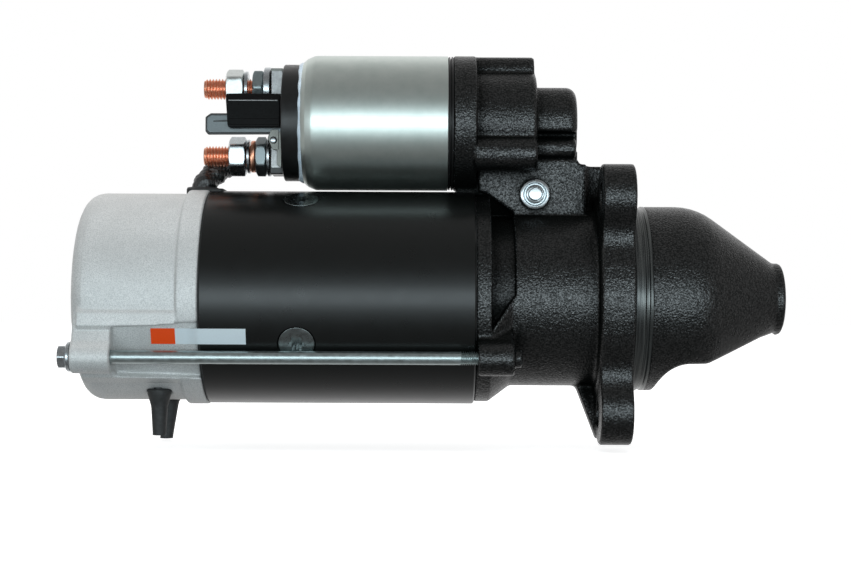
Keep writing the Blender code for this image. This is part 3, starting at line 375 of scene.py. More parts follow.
def woven_sleeve():
    """Braided sleeving: two sets of strands that cross."""
    m = Nodes("woven_sleeve", (0.008, 0.008, 0.009), 0.24)
    m.set("Specular IOR Level", 0.9)
    strands = []
    for turn in (0.7, -0.7):
        mapping = m.add("ShaderNodeMapping", Vector=m.place)
        mapping.inputs["Rotation"].default_value = (turn, turn, 0.9)
        wave = m.add("ShaderNodeTexWave", Vector=mapping.outputs["Vector"], Scale=900.0, Distortion=1.5)
        strands.append(wave.outputs["Fac"])
    weave = m.maths("MULTIPLY", *strands)
    m.colour(m.ramp(weave, (0.1, 0.005), (0.8, 0.020)))
    m.bump(weave, 0.05)
    return m.material


def sealant():
    """Pale putty squeezed out of the joint."""
    m = Nodes("sealant", (0.62, 0.72, 0.80), 0.45)
    m.colour(m.ramp(m.noise(3.0), (0.3, (0.55, 0.66, 0.76)), (0.7, (0.72, 0.80, 0.86))))
    m.bump(m.noise(1.5), 0.08)
    return m.material


def sticker(name, tone):
    """Coated paper label with faint print mottle."""
    m = Nodes(name, tone, 0.4)
    dull = tuple(0.93 * c for c in tone)
    m.colour(m.mix(m.noise(1.0, 3.0), dull, tone))
    m.bump(m.noise(4.0), 0.03)
    return m.material


CAST = cast_black()
MACHINED = machined_black()
PAINT = yoke_paint()
ALUMINIUM = cast_aluminium()
ZINC = zinc()
DULL_ZINC = zinc("dull_zinc", (0.26, 0.295, 0.305), 0.38)
PALE_ZINC = zinc("pale_zinc", (0.86, 0.90, 0.88), 0.34)
TEAL_ZINC = zinc("teal_zinc", (0.40, 0.47, 0.48), 0.44)
BLADE_ZINC = zinc("blade_zinc", (0.15, 0.165, 0.17), 0.4)
STRAP_ZINC = zinc("strap_zinc", (0.20, 0.20, 0.185), 0.4)
SCREW_ZINC = zinc("screw_zinc", (0.28, 0.31, 0.31), 0.28)
ROD_ZINC = zinc("rod_zinc", (0.50, 0.57, 0.57), 0.34)
CASE = drawn_steel()
STEEL = steel("plain_steel", 0.42, 0.34)
GEAR = steel("gear_steel", 0.33, 0.28)
COPPER = copper()
WINDING = winding()
BRONZE = bronze()
CARBON = carbon()
PLASTIC = plastic("black_plastic", 0.005, 0.34)
HOOD = plastic("hood_plastic", 0.004, 0.3, specular=0.06)
# Pale strip material along the hood's upper edge: a painted highlight.
HOOD_EDGE_PAINTED_HIGHLIGHT = plastic("hood_edge_painted_highlight", 0.30, 0.4)
BOSS = plastic("boss_face", 0.34, 0.4, 0.9)
RUBBER = rubber()
SLEEVE = woven_sleeve()
SEALANT = sealant()
LABEL = sticker("label_white", (0.74, 0.82, 0.86))
LABEL_RED = sticker("label_orange", (0.92, 0.075, 0.002))


# ---------------------------------------------------------------- meshes

def to_object(name, points, faces, material):
    """A smooth-shaded object from points in millimetres."""
    points = (np.asarray(points, float).reshape(-1, 3) + (FLANGE_X, 0.0, 0.0)) * MM
    mesh = bpy.data.meshes.new(name)
    mesh.from_pydata(points.tolist(), [], [list(f) for f in faces])
    mesh.materials.append(material)
    mesh.shade_smooth()
    mesh.set_sharp_from_angle(angle=SMOOTH_ANGLE)
    piece = bpy.data.objects.new(name, mesh)
    bpy.context.scene.collection.objects.link(piece)
    return piece


def face_outwards(piece):
    work = bmesh.new()
    work.from_mesh(piece.data)
    bmesh.ops.recalc_face_normals(work, faces=work.faces)
    work.to_mesh(piece.data)
    work.free()
    piece.data.set_sharp_from_angle(angle=SMOOTH_ANGLE)
    return piece


def fit(piece, nodes=(), body="frame"):
    """Joins a piece to the frame: its body and the CAD nodes it stands for."""
    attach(piece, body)
    if nodes:
        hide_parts(*nodes)
    return piece


def skin(name, rings, material, closed=False):
    """Quads between rings of points; the first and last ring are closed with a face each."""
    rings = np.asarray(rings, float)
    count, sides = rings.shape[:2]
    faces = []
    for i in range(count if closed else count - 1):
        a, b = i * sides, (i + 1) % count * sides
        for j in range(sides):
            k = (j + 1) % sides
            faces.append((a + j, a + k, b + k, b + j))
    if not closed:
        faces.append(tuple(range(sides)))
        faces.append(tuple(range((count - 1) * sides, count * sides)))
    return face_outwards(to_object(name, rings, faces, material))


def rounded(outline, steps=5, closed=True):
    """Gives corners (u, v, radius) of an outline an arc; corners without a radius stay sharp."""
    points = []
    count = len(outline)
    for i, corner in enumerate(outline):
        here = Vector(corner[:2])
        radius = corner[2] if len(corner) > 2 else 0.0
        if radius == 0.0 or (not closed and i in (0, count - 1)):
            points.append(tuple(here))
            continue
        back = Vector(outline[i - 1][:2]) - here
        ahead = Vector(outline[(i + 1) % count][:2]) - here
        half = back.angle(ahead) / 2.0
        reach = min(radius / math.tan(half), 0.49 * back.length, 0.49 * ahead.length)
        start = here + back.normalized() * reach
        end = here + ahead.normalized() * reach
        middle = here + (back.normalized() + ahead.normalized()).normalized() * reach / math.cos(half)
        spoke_a, spoke_b = start - middle, end - middle
        sweep = spoke_a.angle_signed(spoke_b)
        for step in range(steps + 1):
            turn = -sweep * step / steps
            c, s = math.cos(turn), math.sin(turn)
            x = c * spoke_a.x - s * spoke_a.y
            y = s * spoke_a.x + c * spoke_a.y
            points.append((middle.x + x, middle.y + y))
    return points


def arc(centre, radius, start, end, steps):
    angles = np.radians(np.linspace(start, end, steps + 1))
    return [(centre[0] + radius * math.cos(a), centre[1] + radius * math.sin(a)) for a in angles]


def lathe(name, profile, material, at=(0.0, 0.0, 0.0), axis="X", sides=LATHE_SIDES, closed=True):
    """Turns an (along, radius) profile; an open profile is closed with discs at its ends."""
    angles = np.linspace(0.0, 2.0 * np.pi, sides, endpoint=False)
    profile = np.array(rounded(profile, closed=closed))
    along = np.repeat(profile[:, :1], sides, axis=1)
    across = profile[:, 1:] * np.cos(angles)
    up = profile[:, 1:] * np.sin(angles)
    order = {"X": (along, across, up), "Y": (across, along, up), "Z": (across, up, along)}[axis]
    rings = np.stack(order, axis=2) + np.array(at)
    return skin(name, rings, material, closed)


def extrude(name, outline, start, end, material, axis="Y", bevel=0.2):
    """A plate from an outline in the other two axes, with beveled edges."""
    order = {"X": (2, 0, 1), "Y": (0, 2, 1), "Z": (0, 1, 2)}[axis]
    points = []
    for w in (start, end):
        for u, v in outline:
            points.append([(u, v, w)[k] for k in order])
    count = len(outline)
    faces = [tuple(range(count)), tuple(range(2 * count - 1, count - 1, -1))]
    for i in range(count):
        j = (i + 1) % count
        faces.append((i, j, count + j, count + i))
    piece = face_outwards(to_object(name, points, faces, material))
    if bevel:
        add_bevel(piece, bevel)
    return piece


def add_bevel(piece, width):
    step = piece.modifiers.new("edges", "BEVEL")
    step.width = width * MM
    step.segments = 3
    step.limit_method = "ANGLE"
    step.angle_limit = BEVEL_ANGLE
    step.harden_normals = True


def apply_modifiers(piece):
    graph = bpy.context.evaluated_depsgraph_get()
    mesh = bpy.data.meshes.new_from_object(piece.evaluated_get(graph))
    piece.modifiers.clear()
    piece.data = mesh


def boolean(base, others):
    """Cuts the others out of base, and removes them."""
    for other in others:
        step = base.modifiers.new("boolean", "BOOLEAN")
        step.operation = "DIFFERENCE"
        step.object = other
    apply_modifiers(base)
    for other in others:
        bpy.data.objects.remove(other)
    base.data.set_sharp_from_angle(angle=SMOOTH_ANGLE)


def on_ring(radius, degrees):
    """(y, z) of a point round the motor axis, measured from -Y towards +Z."""
    angle = math.radians(degrees)
    return -radius * math.cos(angle), radius * math.sin(angle)


def screw_centre(angle):
    turn = math.radians(angle)
    return SCREW_PITCH_R * math.cos(turn), SOLENOID_Z + SCREW_PITCH_R * math.sin(turn)


# ---------------------------------------------------------------- signed distance fields

Shape = namedtuple("Shape", "low high distance")
FAR = 8.0   # distance that an empty grid starts with


class Field:
    """Signed distances to a solid on a grid: negative inside, in millimetres."""

    def __init__(self, low, high, step):
        self.low = np.array(low, float)
        self.step = step
        self.axes = [np.arange(a, b, step, dtype=np.float32) for a, b in zip(low, high)]
        self.values = np.full([len(a) for a in self.axes], FAR, np.float32)

    def near(self, shape, margin):
        """The part of the grid round a shape, and its coordinates."""
        part = []
        for axis, low, high in zip(self.axes, shape.low, shape.high):
            start, stop = np.searchsorted(axis, (low - margin, high + margin))
            part.append(slice(start, stop))
        x, y, z = (axis[p] for axis, p in zip(self.axes, part))
        return tuple(part), (x[:, None, None], y[None, :, None], z[None, None, :])

    def add(self, shape, blend=1.0):
        part, place = self.near(shape, blend + 2.5)
        self.values[part] = soft_min(self.values[part], shape.distance(*place), blend)

    def cut(self, shape, blend=1.0):
        part, place = self.near(shape, blend + 2.5)
        self.values[part] = -soft_min(-self.values[part], shape.distance(*place), blend)

    def keep(self, shape):
        """Cuts away what lies outside a shape."""
        x, y, z = self.axes
        inside = shape.distance(x[:, None, None], y[None, :, None], z[None, None, :])
        self.values = np.maximum(self.values, inside)

    def to_object(self, name, material):
        limit = 3.0 * self.step
        grid = openvdb.FloatGrid(background=limit)
        grid.copyFromArray(np.clip(self.values, -limit, limit))
        points, quads = grid.convertToQuads(0.0)
        points = points * self.step + self.low
        a, b, c = (points[quads[:, k]] for k in (0, 1, 2))
        volume = np.einsum("ij,ij->i", a, np.cross(b, c)).sum()
        if volume < 0.0:
            quads = quads[:, ::-1]
        piece = to_object(name, points, quads, material)
        piece.data.set_sharp_from_angle(angle=math.pi)
        return piece


def soft_min(a, b, blend):
    """The smaller of two distances, rounded where they are nearly equal."""
    if blend <= 0.0:
        return np.minimum(a, b)
    near = np.maximum(blend - np.abs(a - b), 0.0) / blend
    return np.minimum(a, b) - near * near * (blend / 4.0)


def polygon_distance(outline, u, v):
    """Signed distance to a closed outline."""
    best = np.full(np.broadcast(u, v).shape, 1e9, np.float32)
    inside = np.zeros(best.shape, bool)
    for (au, av), (bu, bv) in zip(outline, outline[1:] + outline[:1]):
        eu, ev = bu - au, bv - av
        share = np.clip(((u - au) * eu + (v - av) * ev) / (eu * eu + ev * ev), 0.0, 1.0)
        best = np.minimum(best, (u - au - share * eu) ** 2 + (v - av - share * ev) ** 2)
        if ev:
            inside ^= ((av <= v) != (bv <= v)) & (u < au + (v - av) * eu / ev)
    return np.where(inside, -1.0, 1.0) * np.sqrt(best)


def rounded_meet(side, ends, edge):
    """Distance to a bar from its side and end distances, with rounded rims."""
    side = side + edge
    ends = ends + edge
    outside = np.sqrt(np.maximum(side, 0.0) ** 2 + np.maximum(ends, 0.0) ** 2)
    return outside + np.minimum(np.maximum(side, ends), 0.0) - edge


def rod(radius, start, end, centre=(0.0, 0.0), axis="X", edge=0.8):
    """A cylinder along an axis; centre is in the other two axes, in order."""
    middle, half = (start + end) / 2.0, abs(end - start) / 2.0

    def distance(x, y, z):
        along, a, b = {"X": (x, y, z), "Y": (y, x, z), "Z": (z, x, y)}[axis]
        side = np.sqrt((a - centre[0]) ** 2 + (b - centre[1]) ** 2) - radius
        return rounded_meet(side, np.abs(along - middle) - half, edge)

    low = [middle - half, centre[0] - radius, centre[1] - radius]
    high = [middle + half, centre[0] + radius, centre[1] + radius]
    order = {"X": (0, 1, 2), "Y": (1, 0, 2), "Z": (1, 2, 0)}[axis]
    return Shape([low[k] for k in order], [high[k] for k in order], distance)


def prism(outline, start, end, axis="X", edge=0.8):
    """An extruded outline; (u, v) are the other two axes in order."""
    middle, half = (start + end) / 2.0, abs(end - start) / 2.0

    def distance(x, y, z):
        along, u, v = {"X": (x, y, z), "Y": (y, x, z), "Z": (z, x, y)}[axis]
        return rounded_meet(polygon_distance(outline, u, v), np.abs(along - middle) - half, edge)

    low = [middle - half, min(p[0] for p in outline), min(p[1] for p in outline)]
    high = [middle + half, max(p[0] for p in outline), max(p[1] for p in outline)]
    order = {"X": (0, 1, 2), "Y": (1, 0, 2), "Z": (1, 2, 0)}[axis]
    return Shape([low[k] for k in order], [high[k] for k in order], distance)


def turned(profile):
    """A body turned about the motor axis. Its profile runs below radius 0 where it holds the axis."""
    step = 0.2
    reach = max(p[1] for p in profile)

    def distance(x, y, z):
        radius = np.sqrt(y ** 2 + z ** 2)[0]
        samples = np.arange(0.0, radius.max() + 2.0 * step, step, dtype=np.float32)
        table = polygon_distance(profile, x[:, :, 0], samples[None, :]).astype(np.float32)
        index = (radius / step).astype(int)
        share = (radius / step - index).astype(np.float32)
        return table[:, index] * (1.0 - share) + table[:, index + 1] * share

    low = [min(p[0] for p in profile), -reach, -reach]
    high = [max(p[0] for p in profile), reach, reach]
    return Shape(low, high, distance)


def without(shape, core):
    """The part of a shape outside another."""
    def distance(x, y, z):
        return np.maximum(shape.distance(x, y, z), -core.distance(x, y, z))

    return Shape(shape.low, shape.high, distance)


def spun(shape, degrees):
    """A shape drawn at -Y, turned round the motor axis towards +Z."""
    c, s = math.cos(math.radians(degrees)), math.sin(math.radians(degrees))
    corners = []
    for y in (shape.low[1], shape.high[1]):
        for z in (shape.low[2], shape.high[2]):
            corners.append((y * c + z * s, z * c - y * s))
    low = [shape.low[0]] + [min(p[k] for p in corners) for k in (0, 1)]
    high = [shape.high[0]] + [max(p[k] for p in corners) for k in (0, 1)]
    return Shape(low, high, lambda x, y, z: shape.distance(x, y * c - z * s, y * s + z * c))


# ---------------------------------------------------------------- castings

def flange_outline():
    """Disc with three bolt lobes and concave blends, as (y, z) points."""
    points = []
    for number, (angle, radius) in enumerate(LOBES):
        blend_angle, side = lobe_side(radius)
        next_angle, next_radius = LOBES[(number + 1) % len(LOBES)]
        disc_end = (next_angle - angle) % 360.0 - lobe_side(next_radius)[0]
        petal = [(u, -v) for u, v in side] + [(u, v) for u, v in reversed(side[:-1])]
        petal += arc((0.0, 0.0), DISC_R, blend_angle, disc_end, 8)[1:-1]
        c, s = math.cos(math.radians(angle)), math.sin(math.radians(angle))
        points += [(v * s - u * c, u * s + v * c) for u, v in petal]
    return points


def lobe_side(radius):
    """Angle where a lobe leaves the disc, and its half outline from there to the tip."""
    far = DISC_R + LOBE_BLEND_R
    near = radius + LOBE_BLEND_R
    cosine = (far ** 2 + LOBE_PITCH_R ** 2 - near ** 2) / (2.0 * far * LOBE_PITCH_R)
    blend_angle = math.degrees(math.acos(cosine))
    rise = far * math.sin(math.radians(blend_angle))
    lobe_angle = math.degrees(math.atan2(rise, far * cosine - LOBE_PITCH_R))
    side = arc((far * cosine, rise), LOBE_BLEND_R, 180.0 + blend_angle, 180.0 + lobe_angle, 10)
    return blend_angle, side + arc((LOBE_PITCH_R, 0.0), radius, lobe_angle, 0.0, 18)[1:]


def housing_casting():
    """Drive end housing: collar, neck, flange, nose, lever box and solenoid seat in one casting."""
    far_side = node_box("drive_end_housing")[1].y + 3.0
    field = Field((SEAT_REAR - 3.0, -70.0, -78.0), (NOSE_END + 3.0, far_side, 122.0), 0.8)
    cone = (NOSE_R - LIP_R) / math.tan(math.radians(35.6))
    field.add(turned(rounded([
        (HOUSING_REAR, -20.0), (HOUSING_REAR, COLLAR_R, 0.5), (-66.3, COLLAR_R, 0.9),
        (-56.0, NECK_R, 1.5), (-FLANGE_THICK, NECK_R, 4.5), (-FLANGE_THICK, 47.0), (-12.0, 47.0),
        (-10.0, PILOT_R - 1.2), (7.9, PILOT_R - 1.2), (8.1, NOSE_R, 0.7), (NOSE_CORNER, NOSE_R, 30.0),
        (NOSE_CORNER + cone, LIP_R, 2.0), (NOSE_END, LIP_R, 1.8), (NOSE_END, -20.0),
    ])), 0.0)
    field.add(prism(flange_outline(), -FLANGE_THICK, 0.0, edge=1.3), 3.0)
    cut_pockets(field)
    add_flange_ribs(field)
    add_ears(field)
    add_solenoid_seat(field)
    cut_housing(field)
    piece = field.to_object("drive_end_casting", CAST)
    return fit(piece, ["drive_end_housing"])


def add_flange_ribs(field):
    for angle, low, high in ((LOBE_ANGLES[2], -14.0, -7.5), (LOBE_ANGLES[1], 7.5, 14.0)):
        rib = prism([(-24.5, -40.0), (-10.0, -40.0), (-10.0, -67.0), (-FLANGE_THICK - 0.3, -67.0)], low, high,
                    "Z", 1.2)
        field.add(spun(rib, angle), 2.0)


def add_ears(field):
    """Threaded bosses for the through bolts, with their roots on the collar."""
    for angle in BOLT_ANGLES:
        y, z = on_ring(BOLT_PITCH_R, angle)
        root = prism([(-56.0, -7.4), (-38.0, -8.6), (-38.0, 8.6), (-56.0, 7.4)], HOUSING_REAR + 1.4, -56.2)
        field.add(spun(root, angle), 1.5)
        field.add(rod(8.0, HOUSING_REAR + 0.8, -55.8, (y, z), edge=1.0), 1.0)
        field.add(rod(4.2, -57.0, -52.2, (y, z), edge=1.2), 1.2)


def add_solenoid_seat(field):
    """Lever box, seat ring, cup, chamber and screw bosses above the neck."""
    axis = (0.0, SOLENOID_Z)
    box_side = rounded([
        (-72.0, 62.0), (-70.8, 50.6, 1.0), (-67.8, 50.0, 1.5), (-54.3, 40.4, 1.5), (-54.3, 34.0),
        (-20.0, 34.0), (-20.0, 63.9, 0.8), (-24.0, 63.9, 2.5), (-24.0, 70.0), (-44.1, 70.0), (-44.1, 62.0),
    ])
    field.add(prism(box_side, -BOX_HALF, BOX_HALF, "Y", 0.9), 0.8)
    field.add(prism([(-26.0, 34.0), (-8.0, 34.0), (-8.0, 63.6), (-26.0, 63.6)], -5.0, 5.0, "Y", 1.0), 3.0)
    field.add(prism([(-82.0, 60.0), (-82.0, 49.2), (-66.0, 49.2), (-66.0, 60.0)], -8.0, 8.0, "Y", 0.1), 0.3)
    field.add(rod(17.6, -48.0, -24.2, axis, edge=5.0), 1.2)
    for side in (-1.0, 1.0):
        below = [(-60.0, SOLENOID_Z - 18.0), (-20.0, SOLENOID_Z - 18.0), (-20.0, SOLENOID_Z - 5.0),
                 (-60.0, SOLENOID_Z - 5.0)]
        field.cut(prism(below, min(side * 9.5, side * 30.0), max(side * 9.5, side * 30.0), "Y", 0.3), 1.0)
    waist = prism([(-48.0, 60.0), (-25.0, 60.0), (-25.0, SOLENOID_Z + 2.0), (-48.0, SOLENOID_Z + 2.0)],
                  -9.5, 9.5, "Y", 1.0)
    field.add(waist, 2.0)
    for side in (-1.0, 1.0):
        field.add(rod(5.2, -47.0, -24.8, (side * 10.8, SOLENOID_Z - 12.7), edge=2.0), 0.6)
    field.add(rod(25.0, -74.0, -43.7, axis, edge=3.0), 1.0)
    for angle in SCREW_ANGLES:
        y, z = screw_centre(angle)
        low = angle != 90.0
        field.add(rod(8.4 if low else 6.8, -74.0, -43.9, (y, z - low), edge=2.2), 0.8)
    field.add(rod(SOLENOID_R + 0.1, SEAT_REAR, -72.6, axis, edge=0.8), 0.8)


def cut_pockets(field):
    """Recesses between the collar and the neck, under the lever box."""
    outline = rounded([(-66.0, 49.0), (-66.0, -15.0), (-54.8, 1.5, 0.8), (-54.8, 49.0)])
    core = turned([(-90.0, -20.0), (-90.0, NECK_R - 3.0), (-30.0, NECK_R - 3.0), (-30.0, -20.0)])
    for side in (-1.0, 1.0):
        shell = prism(outline, min(0.0, side * 60.0), max(0.0, side * 60.0), "Y", 0.3)
        under_box = [(0.0, 60.0), (side * 15.6, 60.0), (side * 15.6, 50.5), (side * 3.0, 38.0), (0.0, 38.0)]
        undercut = prism(under_box, -90.0, -40.0, "X", 0.3)
        field.cut(without(without(shell, core), undercut), 0.5)


def cut_housing(field):
    axis = (0.0, SOLENOID_Z)
    field.cut(turned([
        (HOUSING_REAR - 5.0, -20.0), (HOUSING_REAR - 5.0, 37.0), (-13.0, 37.0), (-10.0, 39.2), (31.0, 39.2),
        (58.0, 20.3), (58.0, 12.3), (NOSE_END + 5.0, 12.3), (NOSE_END + 5.0, -20.0),
    ]), 0.6)
    field.cut(rod(13.6, NOSE_END - 1.2, NOSE_END + 5.0, edge=0.2), 0.8)
    field.cut(prism([(-55.0, 26.0), (-34.0, 26.0), (-34.0, 61.0), (-55.0, 61.0)], -12.0, 12.0, "Y"), 0.5)
    field.cut(prism([(-58.0, 60.0), (-29.0, 60.0), (-29.0, SOLENOID_Z + 11.0), (-58.0, SOLENOID_Z + 11.0)],
                    -8.0, 8.0, "Y"), 0.5)
    field.cut(rod(17.5, -88.0, -45.7, axis, edge=0.5), 0.5)
    field.cut(rod(5.3, -30.0, 30.0, (PIVOT_X, PIVOT_Z), "Y", 0.2), 0.5)
    window = rounded(
        [(12.9, -60.0)] + arc((27.5, -45.0), 14.6, 172.0, 95.0, 10)
        + [(36.0, -30.4, 6.0), (64.0, -18.3, 8.0), (72.0, -16.3), (72.0, -60.0)])
    field.cut(prism(window, -60.0, 60.0, "Y", 0.2), 1.4)
    for angle in LOBE_ANGLES:
        field.cut(rod(LOBE_HOLE_R, -30.0, 5.0, on_ring(LOBE_PITCH_R, angle), edge=0.2), 0.9)
    for angle in BOLT_ANGLES:
        field.cut(rod(BOLT_R + 0.3, -80.0, -58.0, on_ring(BOLT_PITCH_R, angle), edge=0.2), 0.9)
    for angle in SCREW_ANGLES:
        field.cut(rod(3.4, -90.0, -40.0, screw_centre(angle), edge=0.2), 0.3)
        field.cut(rod(5.1, -51.0, -35.0, screw_centre(angle), edge=0.2), 0.9)


def pilot_ring():
    """Machined ring in front of the flange, with its relief groove."""
    ring = lathe("pilot_ring", [
        (-0.4, 43.0), (-0.4, PILOT_R), (4.6, PILOT_R, 0.4), (5.2, 43.9, 0.2), (6.6, 43.9, 0.2),
        (7.0, 44.5, 0.2), (8.4, 44.5, 0.3), (8.4, 43.0),
    ], MACHINED)
    return fit(ring)


def end_cover_casting():
    """Commutator end cover: a cup with bolt lugs, flats beside the bolts and a raised front band."""
    field = Field((COVER_REAR - 3.0, -66.0, -55.0), (YOKE_REAR + 6.0, 66.0, 55.0), 0.7)
    field.add(turned(rounded([
        (COVER_REAR, -20.0), (COVER_REAR, COVER_R, 9.0), (BAND_START, COVER_R, 0.8),
        (BAND_START + 0.5, COVER_BAND_R, 0.6), (COVER_FRONT, COVER_BAND_R, 0.6), (COVER_FRONT, 45.2),
        (-197.0, 45.2), (-197.0, -20.0),
    ])), 0.0)
    crease = [(-50.6, 14.0), (-47.2, 19.0), (-40.0, 22.0), (-40.0, -22.0), (-47.2, -19.0), (-50.6, -14.0)]
    for angle in BOLT_ANGLES:
        field.add(spun(prism(crease, COVER_REAR + 4.0, BAND_START + 0.2, edge=0.3), angle), 0.3)
        root = prism([(-55.5, -7.3), (-41.0, -17.0), (-41.0, 20.5), (-55.5, 7.3)], -257.5, -239.8, edge=0.9)
        field.add(spun(root, angle), 0.4)
        field.add(rod(7.6, -257.7, -239.6, on_ring(BOLT_PITCH_R, angle), edge=0.8), 1.0)
    core = turned([(-280.0, -20.0), (-280.0, POCKET_R), (-180.0, POCKET_R), (-180.0, -20.0)])
    for angle in BOLT_ANGLES:
        shell = prism([(-239.5, -13.5), (-190.0, -15.5), (-190.0, 15.5), (-239.5, 12.9)],
                      -70.0, -20.0, "Y", 0.1)
        field.cut(without(spun(shell, angle), core), 0.3)
        field.cut(rod(BOLT_R + 0.3, -270.0, -230.0, on_ring(BOLT_PITCH_R, angle), edge=0.1), 0.6)
    field.cut(turned([
        (-190.0, -20.0), (-190.0, 42.4), (-201.5, 42.4), (-204.0, 45.8), (-244.0, 45.8),
        (-244.0, 40.0), (-255.0, 38.5), (-255.0, 13.6), (-246.0, 13.6), (-246.0, 10.3),
        (-256.8, 10.3), (-256.8, -20.0),
    ]), 0.3)
    notch = prism([(GROMMET_LOW.x - 0.3, 38.0), (GROMMET_HIGH.x + 0.3, 38.0),
                   (GROMMET_HIGH.x + 0.3, 60.0), (GROMMET_LOW.x - 0.3, 60.0)],
                  GROMMET_LOW.y - 0.3, GROMMET_HIGH.y + 0.3, "Y", 0.1)
    field.cut(notch, 0.5)
    for y, top, _, _ in DRAINS:
        field.cut(rod(3.6, -60.0, -30.0, (DRAIN_X, y), "Z", 0.1), 0.3)
        field.cut(rod(5.75, -60.0, top + 0.1, (DRAIN_X, y), "Z", 0.1), 0.2)
    piece = field.to_object("end_cover_casting", ALUMINIUM)
    return fit(piece, ["commutator_end_cover"])


# ---------------------------------------------------------------- motor body

def yoke():
    """Painted steel tube with rolled rims and countersinks for the pole screws."""
    length = YOKE_FRONT - YOKE_REAR
    stations = np.linspace(0.0, 1.0, 60)
    profile = [(YOKE_REAR + 0.7 + (length - 1.4) * s, YOKE_R) for s in stations]
    profile = [(YOKE_REAR, 45.5), (YOKE_REAR, YOKE_R - 0.7)] + profile
    profile += [(YOKE_FRONT, YOKE_R - 0.7), (YOKE_FRONT, 45.5)]
    tube = lathe("yoke_body", profile, PAINT)
    cutters = []
    for angle in POLE_ANGLES:
        cutters.append(radial_turned("countersink", [
            (40.0, 5.3), (47.0, 5.3), (50.9, 8.9), (56.0, 9.4),
        ], angle, PAINT))
    notch = extrude("notch", [(GROMMET_LOW.x - 0.3, 40.0), (GROMMET_HIGH.x + 0.3, 40.0),
                              (GROMMET_HIGH.x + 0.3, 60.0), (GROMMET_LOW.x - 0.3, 60.0)],
                    GROMMET_LOW.y - 0.3, GROMMET_HIGH.y + 0.3, PAINT, "Y", 0.0)
    boolean(tube, cutters + [notch])
    return fit(tube, ["yoke_tube"])


def radial_turned(name, profile, angle, material):
    """A solid turned about a radius of the motor through the poles' centre."""
    piece = lathe(name, profile, material, axis="Z", sides=SMALL_SIDES, closed=False)
    shift = Vector((FLANGE_X * MM, 0.0, 0.0))
    y, z = on_ring(1.0, angle)
    turn = Vector((0.0, 0.0, 1.0)).rotation_difference(Vector((0.0, y, z))).to_matrix()
    for vertex in piece.data.vertices:
        vertex.co = turn @ (vertex.co - shift) + shift + Vector((POLE_X * MM, 0.0, 0.0))
    return piece


def pole_screw(number, angle):
    """Countersunk pole screw with a six-lobed socket."""
    profile = [(37.0, 4.0), (46.6, 4.0), (50.6, 8.25, 0.3), (51.0, 8.25, 0.3), (51.1, 6.0), (51.1, 5.0)]
    screw = radial_turned(f"pole_screw_head_{number}", profile, angle, SCREW_ZINC)
    socket = lathe("socket", [(48.0, 1.0), (52.5, 1.0)], ZINC, axis="Z", sides=72, closed=False)
    shift = Vector((FLANGE_X * MM, 0.0, 0.0))
    y, z = on_ring(1.0, angle)
    turn = Vector((0.0, 0.0, 1.0)).rotation_difference(Vector((0.0, y, z))).to_matrix()
    for vertex in socket.data.vertices:
        local = vertex.co - shift
        heading = math.atan2(local.y, local.x)
        reach = 3.35 + 0.65 * math.cos(6.0 * heading)
        local.x *= reach
        local.y *= reach
        vertex.co = turn @ local + shift + Vector((POLE_X * MM, 0.0, 0.0))
    boolean(screw, [socket])
    return fit(screw, [f"pole_screw_{number}"])


def joint_rings():
    """Thin dark gaskets in the joints between cover, yoke and housing."""
    rear = lathe("rear_joint_seal", [(COVER_FRONT - 0.2, 45.6), (COVER_FRONT - 0.2, YOKE_R - 0.5),
                                     (YOKE_REAR + 0.3, YOKE_R - 0.5), (YOKE_REAR + 0.3, 45.6)], RUBBER)
    front = lathe("front_joint_seal", [(YOKE_FRONT - 0.3, 45.6), (YOKE_FRONT - 0.3, COLLAR_R - 0.4),
                                       (HOUSING_REAR + 0.2, COLLAR_R - 0.4), (HOUSING_REAR + 0.2, 45.6)],
                  RUBBER)
    fit(rear)
    fit(front)


def label():
    """Two-tone paper label that bridges from the cover's flat to the yoke."""
    start, split, end = -222.0, -210.9, -178.3
    top, bottom = -14.4, -21.6
    halves = (("label_field", split, end, LABEL), ("label_tab", start, split, LABEL_RED))
    for name, low, high, material in halves:
        rows = []
        for x in np.linspace(low, high, 40):
            share = np.clip((x + 205.5) / 6.5, 0.0, 1.0)
            share = share * share * (3.0 - 2.0 * share)
            row = []
            for lift, order in ((0.12, 1), (0.30, -1)):
                for z in np.linspace(top, bottom, 9)[::order]:
                    on_flat = math.sqrt((POCKET_R + lift) ** 2 - z * z)
                    on_yoke = math.sqrt((YOKE_R + lift) ** 2 - z * z)
                    row.append((x, -on_flat * (1.0 - share) - on_yoke * share, z))
            rows.append(row)
        fit(skin(name, rows, material))


def hex_radius(angles, flats, turn):
    """Distance from a hexagon's centre to its edge, its corners a little rubbed."""
    sixth = np.radians(60.0)
    reach = flats / 2.0 / np.cos((angles - turn) % sixth - sixth / 2.0)
    return np.minimum(reach, flats / 2.0 / math.cos(sixth / 2.0) - 0.22)


def ring_points(x, radii, angles, centre):
    """Points at station x, round a centre in Y and Z."""
    return np.stack([np.full(len(angles), x), centre[0] + radii * np.cos(angles),
                     centre[1] + radii * np.sin(angles)], axis=1)


